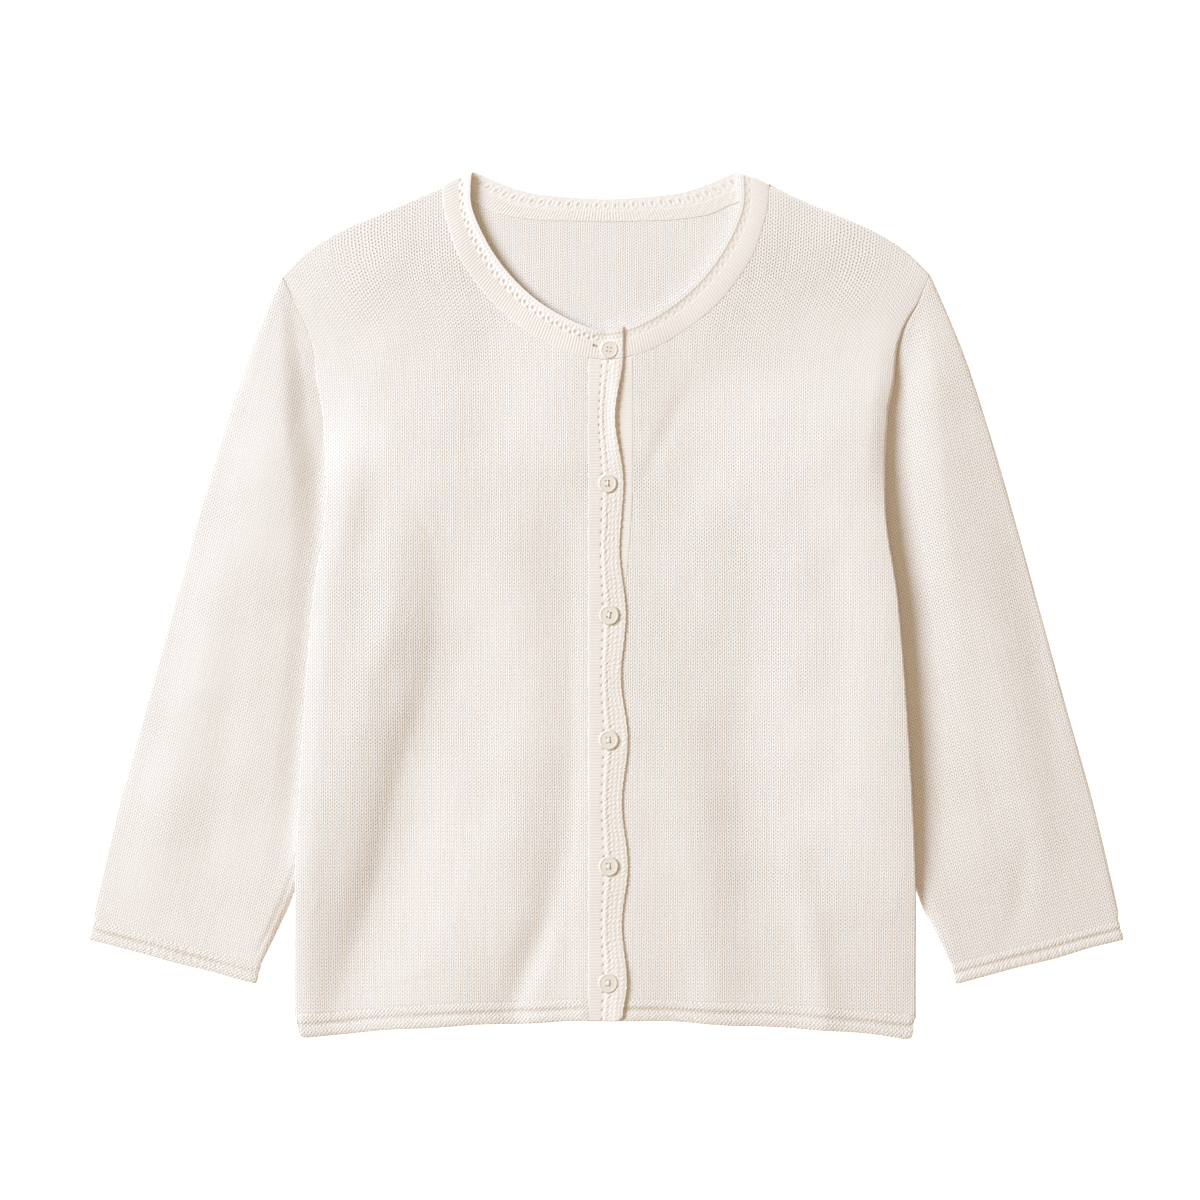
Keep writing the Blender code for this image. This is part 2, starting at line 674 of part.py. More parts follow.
def build():
    for old in list(bpy.data.objects):
        bpy.data.objects.remove(old, do_unlink=True)
    garment = bpy.data.collections.new(GARMENT)
    cutters = bpy.data.collections.new("cutters")
    for collection in (garment, cutters):
        bpy.context.scene.collection.children.link(collection)
    jersey = material("cream_jersey", YARN, 0.95)
    rib = material("cream_rib", YARN, 0.95)
    trim = material("cream_trim", YARN, 0.95)
    plastic = material("cream_button", BUTTON_COLOUR, 0.35)

    make_back(garment, jersey)
    for side, word in ((-1, "right"), (1, "left")):
        make_front("front_panel_" + word, side, garment, jersey)
        make_sleeve("sleeve_" + word, side, garment, jersey)
        make_cuff("cuff_" + word, side, garment, trim)
    make_back_hem(garment, trim)
    make_front_hem("hem_front_right", -1, RIGHT_BAND_SEAM_X - SEAM_GAP, garment, trim)
    make_front_hem("hem_front_left", 1, LEFT_BAND_SEAM_X + SEAM_GAP, garment, trim)
    make_back_neckband(garment, rib)
    make_front_neckband("neckband_right", -1, NECKBAND_END_X, NECK_RIBS_RIGHT, garment, rib)
    make_front_neckband("neckband_left", 1, LEFT_BAND_FREE_X, NECK_RIBS_LEFT, garment, rib)
    make_band("buttonhole_band", -1, RIGHT_BAND_SEAM_X, band_edge_x, garment, rib)
    make_band("button_band", 1, LEFT_BAND_SEAM_X, lambda y: LEFT_BAND_FREE_X, garment, rib)
    for number, (x, y, _, _) in enumerate(BUTTONS, start=1):
        make_button("button_%d" % number, x, y, garment, plastic)


build()
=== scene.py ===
"""Looks of the button cardigan: knitted cloth, trims, buttons, thread, floor, light and camera.

The garment lies on the XY plane with +Y to the neck, +Z out of the front and
-X to the wearer's right. Tables and lengths are in millimetres, and meshes are
made in metres. Outline tables are given for the +X half, and a side is -1 for
the wearer's right and 1 for the left.
"""
from math import acos, atan2, cos, hypot, pi, radians, sin

import bpy
import numpy as np
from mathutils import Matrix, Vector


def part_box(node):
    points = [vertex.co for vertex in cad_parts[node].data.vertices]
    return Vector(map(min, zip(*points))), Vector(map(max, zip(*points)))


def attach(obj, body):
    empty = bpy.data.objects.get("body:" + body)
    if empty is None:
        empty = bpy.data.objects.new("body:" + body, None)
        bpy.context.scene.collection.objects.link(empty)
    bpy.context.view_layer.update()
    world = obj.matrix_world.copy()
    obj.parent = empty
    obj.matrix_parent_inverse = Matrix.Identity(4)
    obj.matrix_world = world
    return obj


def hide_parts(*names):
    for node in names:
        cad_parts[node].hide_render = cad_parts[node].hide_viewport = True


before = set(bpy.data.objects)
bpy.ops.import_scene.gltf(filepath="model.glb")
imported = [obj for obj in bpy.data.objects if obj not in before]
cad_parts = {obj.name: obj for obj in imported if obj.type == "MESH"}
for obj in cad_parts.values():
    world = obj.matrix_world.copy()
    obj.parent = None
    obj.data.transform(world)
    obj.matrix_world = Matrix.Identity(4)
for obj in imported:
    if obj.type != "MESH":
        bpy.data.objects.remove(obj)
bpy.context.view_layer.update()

MM = 0.001
TAU = 2 * pi

# Cloth
CLOTH = 1.6
FRONT_OVER_BACK = 2.8  # upper face of the front above the upper face of the back
WALE = 2.9  # width of a knit stitch
COURSE = 2.3  # height of a knit stitch
FOLD_RADIUS = 4.5  # soft turn at the sides and shoulders
TUCK = 1.6  # how far a panel's edge runs under the band sewn to it
RIM = 0.15  # how much of a band's width its rounded edge takes

# Sleeves, as flattened tubes
SLEEVE_THICKNESS = 5.2
SLEEVE_DOME = 1.3
DOME_SHARE = 0.55
BODY_OVER_SLEEVE = 5.9
LIFT_START, LIFT_RUN = 12, 40
LIFT_TOP_Y, LIFT_END_Y = 150, -250

# Front opening
BAND_SEAM_X = {-1: -11.4, 1: 17.9}
BAND_FREE_X = -4.2  # free edge of the button band, which lies underneath
LEFT_SEAM_CREEP = 7  # how far the left front reaches over the button band lower down
OVERLAP_RISE, UNDERLAP_RISE = 2.3, 1.2
BAND_TOP_Y = 158.2
BAND_WIDTH = 20.5
NECKBAND_END_X = 12  # free end of the upper neckband
NECKBAND_WIDTH, BACK_NECKBAND_WIDTH = 20, 14.9
NECK_RIB, BAND_RIB = 2, 1.95
EYELET_PITCH = 7
SCALLOP_PITCH, SCALLOP_DEPTH = 5.65, 0.12
SLIT = -7.6, 168, -5, 167  # end of the top buttonhole, beside the first button
CUFF_HEIGHT, HEM_HEIGHT = 13, 14

# Points of the meshes, across and down, few enough to keep the whole under a million triangles
FRONT_GRID, BACK_GRID, SLEEVE_GRID = (118, 232), (150, 190), (64, 210)
CUFF_AROUND, HEM_STATIONS, BACK_HEM_STATIONS = 150, 330, 420

# Outline tables: x, y
SHOULDER = [(106.3, 272.7), (133.6, 260.3), (164.8, 247.3), (180.4, 239.3), (196, 228.8), (210.9, 214.2)]
ARMHOLE = [(210.9, 214.2), (202, 195.5), (194.2, 181.5), (189.2, 165), (187.5, 146), (183.5, 126)]
SIDE = [(183.5, 126), (181.5, 90), (182.2, 52), (189.8, 0), (196.6, -88), (201, -175), (201.8, -266.8)]
NECK_SEAM = [(106.3, 272.7), (105, 257), (101.5, 243), (96.3, 228), (87.4, 213), (73, 195.3), (56, 181), (38, 169.5),
    (20, 162), (0, 159)]
NECK_EDGE = [(86.8, 280.4), (87.4, 263), (84.2, 250.6), (76.5, 234.5), (67, 220), (56, 207.6), (43.5, 196.6),
    (30, 188), (15, 181), (0, 178)]
BACK_NECK_SEAM = [(106.3, 272.7), (94.6, 264.9), (79, 258.4), (67.3, 253.2), (45.8, 249.9), (21.1, 249), (0, 248.6)]
BACK_NECK_EDGE = [(86.8, 281.1), (81.6, 279.6), (68.6, 274), (55.6, 269.4), (42.6, 266.6), (16.6, 264.2), (0, 263.5)]
SLEEVE_OUTER = [(210.9, 214.2), (218.1, 197.9), (231.7, 165.4), (242.8, 132.9), (262.3, 67.9), (298, -62.1),
    (316.2, -127.1), (331.5, -192.1), (333, -205)]
SLEEVE_INNER = [(113.4, 64), (156, -57), (199.2, -179.5), (209.6, -205), (223.6, -234)]
UNDERARM = (113.4, 64)
HEM_SEAM = [(0, -255.3), (61, -257.8), (123, -260.2), (170, -264.2), (201.8, -266.8)]
HEM_EDGE = [(0, -270.4), (40, -271.2), (67, -272.5), (94, -274), (125, -275.9), (150, -277.5), (172, -279.3),
    (186, -281), (193.6, -282), (197.6, -281.5), (199.2, -279.4), (199.9, -274.5), (200.5, -269.6), (201.8, -267.6)]

# Soft swells of the front: x, y of the middle, radius, height
SWELLS = [(-92, 238, 32, 1.4), (92, 238, 32, 1), (-198, 198, 42, 1), (198, 198, 42, 1), (-150, 236, 36, 0.9),
    (150, 236, 36, 0.9)]

# Soft creases of the front, ridges above zero and troughs below it: half width to the -X side,
# half width to the +X side, then x, y and height along it
CREASES = [
    (14, 28, (-103, 78, 0), (-104, 55, -1.1), (-107, 29, -1.8), (-106, 3, -2.1), (-107, -23, -2.4), (-112, -49, -2.9),
        (-119, -75, -3.1), (-128, -101, -3.5), (-134, -127, -3.7), (-140, -153, -3.7), (-146, -179, -3.5),
        (-153, -205, -2.9), (-164, -235, -2), (-174, -264, -1)),
    (36, 28, (-42, 170, 0), (-44, 130, 0.9), (-46, 90, 1.8), (-50, 45, 2.2), (-50, 3, 2.2), (-52, -23, 2.2),
        (-48, -75, 2.3), (-50, -101, 2.3), (-54, -127, 2.2), (-61, -153, 2.2), (-67, -179, 2.1), (-76, -205, 1.9),
        (-93, -235, 1.6), (-104, -264, 1)),
    (10, 9, (-20, -20, 0), (-21, -75, -0.2), (-24, -127, -0.4), (-28, -153, -0.6), (-33, -179, -0.9),
        (-39, -205, -1.4), (-50, -233, -1.9), (-62, -264, -1.5)),
    (26, 9, (-24, 75, 0), (-24, 30, -0.9), (-24, -50, -1.2), (-24, -150, -1.2), (-26, -225, -0.9), (-27, -264, -0.5)),
    (14, 10, (-137, 52, 0), (-137, 29, 0.5), (-138, 3, 0.9), (-142, -23, 1.1), (-152, -49, 0.8), (-157, -75, 0.7),
        (-165, -101, 0.3), (-171, -130, 0)),
    (9, 8, (-163, 150, 0), (-163, 107, 0.4), (-163, 81, 0.6), (-166, 55, 0.5), (-171, 26, 0)),
    (9, 10, (-148, 90, 0), (-151, 52, -0.45), (-157, 26, -0.45), (-163, -5, 0)),
    (8, 18, (-197, -100, 0), (-199, -165, 0.9), (-200, -215, 1.8), (-201, -264, 1.3)),
    (22, 24, (38, 155, 0), (42, 100, 0.8), (46, 40, 0.9), (50, -23, 1.1), (50, -49, 1.3), (54, -101, 1.6),
        (57, -153, 1.6), (61, -179, 1.6), (64, -205, 1.3), (69, -235, 1.4), (72, -264, 1)),
    (17, 26, (100, 95, 0), (98, 60, -0.8), (95, 29, -1), (99, 3, -1), (100, -23, -1), (93, -60, -0.9),
        (89, -101, -0.9), (90, -153, -0.9), (93, -205, -0.9), (97, -264, -0.5)),
    (18, 14, (146, 70, 0), (147, 25, -0.8), (149, -60, -0.9), (148, -120, -0.6), (146, -180, 0)),
    (52, 12, (186, 180, 0), (184, 150, 1), (183, 118, 2.6), (183, 81, 3.9), (184, 40, 4.4), (190, 0, 4.4),
        (196, -88, 4), (199, -150, 2.4), (201, -205, 1), (202, -245, 0)),
    (12, 9, (118, -140, 0), (127, -179, 0.6), (133, -205, 0.8), (139, -240, 1.2), (142, -264, 1)),
    (5, 6, (20, 76, 0), (30, 92, -0.5), (44, 122, -0.5), (58, 150, 0)),
    (11, 11, (-120, 100, 0), (-104, 120, 0.3), (-84, 150, 0)),
]

# The same of the sleeves
SLEEVE_CREASES = {
    -1: [
        (28, 34, (-222, 196, 0), (-218, 160, 1), (-216, 110, 1.5), (-214, 60, 1.5), (-218, 10, 1.3), (-228, -60, 1.2),
            (-238, -110, 0.9), (-246, -160, 0)),
        (16, 12, (-240, 100, 0), (-252, 20, 0.4), (-266, -60, 0.5), (-282, -130, 0.4), (-296, -190, 0.2)),
        (9, 9, (-232, 20, 0), (-240, -40, -0.4), (-248, -100, -0.4), (-256, -160, -0.2), (-260, -200, 0)),
    ],
    1: [
        (28, 26, (222, 196, 0), (216, 160, 0.6), (216, 110, 0.9), (218, 60, 0.9), (222, 0, 0.6), (232, -80, 0.3),
            (240, -130, 0)),
        (15, 13, (240, 90, 0), (248, 20, 0.4), (260, -60, 0.5), (270, -130, 0.4), (276, -180, 0.2)),
        (10, 10, (262, 90, 0), (272, 30, -0.5), (284, -60, -0.6), (296, -140, -0.4), (300, -190, 0)),
        (7, 7, (266, -128, 0), (272, -160, -0.6), (268, -196, -0.7), (262, -214, -0.2)),
    ],
}

# How a sleeve drops towards the body: y, distance of the middle of the slope from the centre
# line, width of the slope, drop
SLEEVE_DROP = {
    -1: [(205, 207, 8, 0), (190, 206, 9, 0.8), (174, 205, 11, 1.5), (147, 202.5, 15, 2.5), (120, 201, 18, 3),
        (81, 195, 20, 3.3), (45, 193, 24, 3.1), (29, 193, 26, 3.1), (-36, 197.5, 26, 2.9), (-101, 204, 24, 2.4),
        (-153, 210, 20, 0.8), (-190, 222, 18, 0)],
    1: [(205, 207, 8, 0), (190, 206, 10, 0.4), (174, 205, 16, 1.3), (147, 205, 24, 2.4), (120, 205, 29, 2.8),
        (81, 206, 32, 2.8), (29, 210, 34, 2.8), (-36, 218, 34, 2.8), (-101, 226, 34, 2.3), (-153, 230, 30, 1.2),
        (-190, 231, 24, 0)],
}
# Height of the armhole seam: y, height
SEAM_HEIGHT = {
    -1: [(81, 3.4), (147, 3.8), (174, 4.3), (190, 4.7), (214, 4.7)],
    1: [(81, 3.4), (147, 3.8), (165, 4.2), (180, 5.2), (194, 5.7), (214, 5.2)],
}

# Where the stitches show more or less: x, y, radius in x, radius in y, amount
OPEN_PATCHES = [(-120, 225, 50, 30, 1.5), (-80, 195, 28, 42, 0.7), (120, 225, 50, 30, 1.9), (80, 200, 26, 42, 0.8),
    (-10, 78, 8, 14, 1), (20, 78, 9, 16, 1), (-140, 150, 40, 40, -0.3), (-110, 140, 50, 60, 0.1),
    (-160, -40, 20, 90, 0.7), (-120, -185, 45, 55, -0.35), (70, 0, 55, 110, 0.6), (150, -180, 60, 70, 0.3),
    (172, 75, 14, 34, 0.2)]

# Cross-section of a trim, from its seam over the ridge, groove and roll and back underneath:
# share of its width, height over the cloth
TRIM_OUTSIDE = [(-0.05, -0.5), (0.01, 0), (0.1, 0.12), (0.23, 0.28), (0.33, 0.2), (0.4, -0.14), (0.47, -0.15),
    (0.56, 0.16), (0.68, 0.46), (0.82, 0.5), (0.93, 0.15), (0.985, -0.6), (0.97, -1.5), (0.86, -2.1), (0.6, -1.9),
    (0.2, -1.7), (0, -1.7)]
# The same of the back hem, height over the ground
BACK_HEM_OUTSIDE = [(0, 0), (0, CLOTH), (0.2, 2.1), (0.5, 1.8), (0.8, 2.2), (0.97, 1.5), (0.99, 0.7), (0.9, 0.05),
    (0.6, 0.35), (0.3, 0.05)]

# Buttons from the neck down: x, y
BUTTONS = [(2.3, 165.2), (1.3, 78.4), (2.3, -6.8), (2, -87.8), (2, -169.6), (1.6, -245.3)]
BUTTON_TURNS = (-10, 4, -14, 6, 2, 0)  # degrees
BUTTON_SIZES = (0.9, 0.94, 1, 1, 1, 1)
BUTTON_DIP = 0.5  # how far a button presses the cloth in
BUTTON_SUNK = 1.35  # how much lower a button sits than its solid
HOLE_SPREAD = (1.2, 1.2)  # half distance between the holes, across and along
SEWN_SPREAD = (0.95, 1.6)  # the same of the buttons whose thread shows
THREAD_SPREAD = {2: 0.3, 3: 0.32, 4: 0.45, 5: 0.5, 6: 0.7}
# Free edge of the upper band at each button and half way to the next: y, x
BAND_EDGE = [(165.2, 12), (121.8, 6.2), (78.4, 11.7), (35.8, 9.2), (-6.8, 13.3), (-47.3, 10.1), (-87.8, 14.6),
    (-128.7, 10.7), (-169.6, 14.6), (-207.45, 10.7), (-245.3, 14), (-270.3, 10.9)]
# Turned profiles of a button and of the cutter for its holes: radius, height above its underside
BUTTON_PROFILE = [(0, 1.4), (3.2, 1.4), (4.5, 1.41), (4.9, 1.47), (5.2, 1.56), (5.6, 1.6), (5.95, 1.52), (6.2, 1.34),
    (6.35, 1.05), (6.3, 0.6), (5.9, 0.2), (5, 0), (0, 0)]
HOLE_PROFILE = [(0, 4), (0.702, 4), (0.702, 1.7), (0.52, 1.15), (0.52, -1), (0, -1)]

CREAM = (0.862, 0.813, 0.754, 1)
CREAM_DEEP = (0.745, 0.682, 0.6, 1)
HOLE = (0.33, 0.27, 0.21, 1)
# Tan of the painted shade in rib valleys, trim grooves, eyelets and slits, and of the gaps between small stitches
SHADE_AND_GAP_TAN = (0.56, 0.43, 0.29, 1)

# Light, and a camera whose view is as wide as the photograph at 0.65 mm a pixel
KEY_PLACE, KEY_SIZE, KEY_POWER, KEY_COLOUR = (-4.478, 2.1, 3.4), 3, 519, (0.655, 0.808, 1)
SKY_STRENGTH, SKY_LOW, SKY_HIGH = 0.555, (0.86, 0.92, 1, 1), (1, 0.765, 0.525, 1)
LENS, SENSOR, VIEW_WIDTH = 100, 36, 0.78


# Curves in the plane ----

def size(vectors):
    return np.linalg.norm(vectors, axis=-1)


def heading(vectors):
    return vectors / size(vectors)[:, None]


def xy(points):
    return points[..., 0], points[..., 1]


def pair(x, y):
    return np.stack([x, y], axis=-1)


class Path:
    """A smooth curve through points, read by its share of length."""

    STEPS = 24

    def __init__(self, points, shift=0):
        points = np.array(points, dtype=float)
        ends = np.vstack([2 * points[0] - points[1], points, 2 * points[-1] - points[-2]])
        t = np.linspace(0, 1, self.STEPS, endpoint=False)[:, None]
        runs = [0.5 * (2 * b + (c - a) * t + (2 * a - 5 * b + 4 * c - d) * t ** 2 + (3 * b - a - 3 * c + d) * t ** 3)
                for a, b, c, d in zip(ends, ends[1:], ends[2:], ends[3:])]
        self.line = np.vstack(runs + [points[-1:]])
        if shift:
            along = heading(np.gradient(self.line, axis=0))
            self.line = self.line + shift * pair(-along[:, 1], along[:, 0])
        self.travel = np.append(0, np.cumsum(size(np.diff(self.line, axis=0))))
        self.length = self.travel[-1]

    def __call__(self, share):
        s = np.asarray(share) * self.length
        return pair(*(np.interp(s, self.travel, self.line[:, k]) for k in (0, 1)))

    def share_at_x(self, x):
        return np.interp(x, self.line[:, 0], self.travel) / self.length

    def y_at(self, x):
        return self(self.share_at_x(x))[..., 1]


def whole(table, shift=0):
    """The curve of an outline over both halves, from the -X side to the +X side."""
    return Path([(-x, y) for x, y in table] + table[-2::-1], shift)


def sided(table, side):
    return [(side * x, y) for x, y in table]


def half(table, side, inset=0):
    """The curve of an outline on one side, moved in towards the body."""
    return Path(sided(table, side), -side * inset)


def stretch(curve, start, end):
    return lambda t: curve(start + (end - start) * np.asarray(t))


def joined(first, second, split):
    """Two curves end to end; the first takes the shares up to split."""
    def curve(t):
        t = np.asarray(t)
        one, other = first(np.minimum(t / split, 1)), second(np.maximum((t - split) / (1 - split), 0))
        return np.where((t < split)[..., None], one, other)
    return curve


def blend(a, b, share):
    return a * (1 - share[..., None]) + b * share[..., None]


def straight(a, b):
    return lambda t: np.array(a) + np.subtract(b, a) * np.asarray(t)[..., None]


def patch(inner, outer, top, bottom, us, vs):
    """Points of a sheet stretched between four boundary curves."""
    u, v = us[None, :, None], vs[:, None, None]
    across = (1 - u) * inner(vs)[:, None] + u * outer(vs)[:, None]
    down = (1 - v) * top(us) + v * bottom(us)
    corners = (1 - v) * ((1 - u) * inner(0) + u * outer(0)) + v * ((1 - u) * inner(1) + u * outer(1))
    return across + down - corners


def crowded(count, low, high):
    """Shares from 0 to 1 that crowd together at the ends, each by its own amount."""
    t = np.linspace(0, 1, count)
    weight = low * (1 - t) + high * t
    return (1 - weight) * t + weight * (1 - np.cos(pi * t)) / 2


# Heights ----

def unit(t):
    return np.clip(t, 0, 1)


def ease(value, start=0, run=1):
    """A soft step from 0 at start to 1 at start + run; a run below zero steps the other way."""
    t = unit((value - start) / run)
    return t * t * (3 - 2 * t)


def roll(distance, radius=FOLD_RADIUS):
    """Share of the full height at a distance from a rolled edge."""
    return np.sqrt(1 - (1 - unit(distance / radius)) ** 2)


def rise(distance, width):
    """Share of the full height of a slope that is steepest at its foot."""
    return np.sin(pi / 2 * unit(distance / width))


def bump(distance, width):
    return np.exp(-(distance / width) ** 2)


def ripple(x, y, length, seed):
    """Smooth uneven waves of about that length, from -1 to 1."""
    draw = np.random.default_rng(seed)
    total = np.zeros(np.broadcast(x, y).shape)
    for _ in range(7):
        angle, phase = draw.uniform(0, TAU, 2)
        k = TAU / (length * draw.uniform(0.7, 1.6))
        total += np.sin(k * (x * cos(angle) + y * sin(angle)) + phase)
    return total / 4


def beside(x, y, x0, y0, x1, y1):
    """Of points near a straight run: share along it, distance to its left and distance past its ends."""
    run = hypot(x1 - x0, y1 - y0)
    ux, uy = (x1 - x0) / run, (y1 - y0) / run
    along = (x - x0) * ux + (y - y0) * uy
    return along / run, (y - y0) * ux - (x - x0) * uy, np.maximum(np.maximum(-along, along - run), 0)


def creases(x, y, table):
    """Total height of soft creases, each followed along its own line."""
    total = np.zeros(np.broadcast(x, y).shape)
    for west, east, *points in table:
        nearest, height = np.full(total.shape, 1e9), np.zeros(total.shape)
        for (x0, y0, h0), (x1, y1, h1) in zip(points, points[1:]):
            share, across, beyond = beside(x, y, x0, y0, x1, y1)
            across = across * (1 if y1 < y0 else -1)
            reach = np.hypot(across / np.where(across < 0, west, east), beyond / (west + east))
            height = np.where(reach < nearest, h0 + (h1 - h0) * unit(share), height)
            nearest = np.minimum(nearest, reach)
        total += height * np.exp(-nearest ** 2)
    return total


def body_edge_x(y):
    """Half width of the body at that height."""
    line = np.vstack([Path(ARMHOLE).line, Path(SIDE).line])
    return np.interp(-np.asarray(y), -line[:, 1], line[:, 0])


def seam_share(y, side):
    """1 where the sleeve is sewn to the edge of the body, 0 where it goes under the body."""
    return ease(y, 70, 50) if side < 0 else ease(y, 50, 60)


def sleeve_drop(x, y, side):
    """How far the sleeve has dropped towards the body."""
    ys, middle, width, drop = np.transpose(SLEEVE_DROP[side][::-1])
    across = (np.interp(y, ys, middle) - np.abs(x)) / np.interp(y, ys, width)
    return np.interp(y, ys, drop) * ease(across, -0.5)


def past_sleeve(x, y):
    """Distance beyond the edge of the sleeve that is hidden under the body, below zero over it."""
    past_side = -beside(np.abs(x), y, *UNDERARM, *SLEEVE_INNER[2])[1]
    past_end = beside(np.abs(x), y, *UNDERARM, *ARMHOLE[4])[1]
    beyond = np.hypot(np.maximum(past_side, 0), np.maximum(past_end, 0))
    return beyond + np.minimum(np.maximum(past_side, past_end), 0)


def lift(x, y):
    """Height of the ground under the body, which a hidden sleeve raises."""
    height = BODY_OVER_SLEEVE * (1 - ease(past_sleeve(x, y), LIFT_START, LIFT_RUN))
    pressed = 1 - 0.45 * bump(np.maximum(body_edge_x(y) - np.abs(x), 0), 7)
    return height * pressed * ease(y, LIFT_TOP_Y, -110) * ease(y, LIFT_END_Y, 65)


def front_top(x, y, side):
    """Upper face of the front, which spans the hidden sleeve's edge."""
    height = BODY_OVER_SLEEVE * ease(past_sleeve(x, y), 100, -105)
    height = height * ease(y, 206, -150 if side < 0 else -100) * ease(y, -264, 112)
    height = np.maximum(height, lift(x, y) - 1.6) + CLOTH + FRONT_OVER_BACK + creases(x, y, CREASES)
    for cx, cy, radius, swell in SWELLS:
        height = height + swell * bump(np.hypot(x - cx, y - cy), radius)
    height = height + 0.16 * ripple(x, y, 45, 5)
    return height + (OVERLAP_RISE * ease(x, -85, 75) if side < 0 else UNDERLAP_RISE * ease(x, 60, -46))


# Meshes ----

def placed(name, data):
    """A new object in the scene with that mesh, lamp or camera."""
    made = bpy.data.objects.new(name, data)
    bpy.context.scene.collection.objects.link(made)
    return made


def surface(name, points, knit, finish, flip=False, around=False, closed=False, **marks):
    """A mesh over rows of points, with its knit coordinates and named point marks.

    around joins the last point of each row to the first, and closed joins the
    last row to the first.
    """
    rows, cols = points.shape[:2]
    index = np.arange(rows * cols).reshape(rows, cols)
    if around:
        index = np.hstack([index, index[:, :1]])
    if closed:
        index = np.vstack([index, index[:1]])
    quads = np.stack([index[:-1, :-1], index[1:, :-1], index[1:, 1:], index[:-1, 1:]], axis=-1).reshape(-1, 4)
    if flip:
        quads = quads[:, ::-1]
    mesh = bpy.data.meshes.new(name)
    mesh.from_pydata((points.reshape(-1, 3) * MM).tolist(), [], quads.tolist())
    layer = mesh.uv_layers.new(name="knit")
    layer.data.foreach_set("uv", knit.reshape(-1, 2)[quads.ravel()].astype(np.float32).ravel())
    for mark, values in marks.items():
        data = mesh.attributes.new(mark, "FLOAT", "POINT").data
        data.foreach_set("value", np.broadcast_to(values, (rows, cols)).astype(np.float32).ravel())
    mesh.materials.append(finish)
    mesh.shade_smooth()
    return placed(name, mesh)


def piece(made, slot, *nodes):
    """Hang a finished piece on the garment in place of its CAD nodes."""
    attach(made, "root")
    if nodes:
        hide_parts(*nodes)
    return made


# Materials ----

class Nodes:
    """A node tree of a new material or world."""

    def __init__(self, owner):
        owner.use_nodes = True
        self.owner, self.tree = owner, owner.node_tree

    def add(self, kind, inputs=None, **settings):
        node = self.tree.nodes.new("ShaderNode" + kind)
        for key, value in settings.items():
            setattr(node, key, value)
        for key, value in (inputs or {}).items():
            self.set(node.inputs[key], value)
        return node

    def set(self, socket, value):
        if isinstance(value, bpy.types.NodeSocket):
            self.tree.links.new(value, socket)
        else:
            socket.default_value = value

    def mix(self, share, a, b):
        return self.add("Mix", {0: share, 6: a, 7: b}, data_type="RGBA").outputs[2]


class Weave(Nodes):
    """A material whose colour and bump are worked out by nodes, from knit coordinates on cloth."""

    def __init__(self, name, roughness=0.9, sheen=0.25, more=()):
        super().__init__(bpy.data.materials.new(name))
        self.shader = self.tree.nodes["Principled BSDF"].inputs
        for socket, value in (
                ("Roughness", roughness), ("Specular IOR Level", 0.25), ("Sheen Weight", sheen),
                ("Sheen Roughness", 0.6), ("Sheen Tint", (1, 0.97, 0.93, 1)), *more):
            self.set(self.shader[socket], value)
        self.uv = self.add("UVMap", uv_map="knit").outputs[0]
        self.u, self.v = self.add("SeparateXYZ", {0: self.uv}).outputs[:2]

    def math(self, operation, *values):
        return self.add("Math", dict(enumerate(values)), operation=operation).outputs[0]

    def times(self, a, b):
        return self.math("MULTIPLY", a, b)

    def between(self, value, low, high):
        """A value moved from 0..1 to low..high."""
        return self.math("MULTIPLY_ADD", value, high - low, low)

    def mark(self, name):
        return self.add("Attribute", attribute_name=name).outputs["Fac"]

    def noise(self, scale, detail=2, where=None):
        return self.add("TexNoise", {"Vector": where or self.uv, "Scale": scale, "Detail": detail}).outputs["Fac"]

    def finish(self, colour, height, strength, distance):
        relief = self.add("Bump", {"Strength": strength, "Distance": distance * MM, "Height": height})
        self.set(self.shader["Base Color"], colour)
        self.set(self.shader["Normal"], relief.outputs[0])
        return self.owner


def knit_cloth(name):
    """Jersey: rows of V stitches, each leg raised, with dark dots where the legs part.

    The mark "open" is how far the stitches are stretched apart.
    """
    w = Weave(name)
    u = w.math("ADD", w.u, w.between(w.noise(0.35), -0.22, 0.22))
    v = w.math("ADD", w.v, w.between(w.noise(0.5), -0.18, 0.18))
    across = w.math("ABSOLUTE", w.between(w.math("FRACT", u), -1, 1))
    leg = w.math("FRACT", w.math("SUBTRACT", v, w.times(across, 0.5)))
    leg_round, side_round = (w.times(w.times(part, 4), w.math("SUBTRACT", 1, part)) for part in (leg, across))
    height = w.times(w.between(leg_round, 0.3, 1), w.between(side_round, 0.35, 1))
    apart, aside = (w.math("ABSOLUTE", w.between(part, -1, 1)) for part in (leg, across))
    parting = w.times(w.between(apart, 0.25, 1), aside)
    spot = w.add("MapRange", {0: parting, 1: 0.46, 2: 0.88}, interpolation_type="SMOOTHSTEP").outputs[0]
    opened = w.times(spot, w.between(w.mark("open"), 0.3, 1))
    dark = w.math("MINIMUM", w.times(opened, w.between(w.noise(0.11, 3), 0.6, 1.4)), 1)
    drawn_out = w.add("VectorMath", {0: w.uv, 1: (1, 0.06, 1)}, operation="MULTIPLY").outputs[0]
    streak = w.noise(1, 2, drawn_out)
    colour = w.mix(dark, w.mix(w.between(streak, 0, 0.32), CREAM, CREAM_DEEP), HOLE)
    height = w.math("SUBTRACT", height, w.times(dark, 0.6))
    height = w.math("MULTIPLY_ADD", w.noise(6, 3), 0.35, w.math("MULTIPLY_ADD", streak, 0.7, height))
    return w.finish(colour, height, 0.43, 0.6)


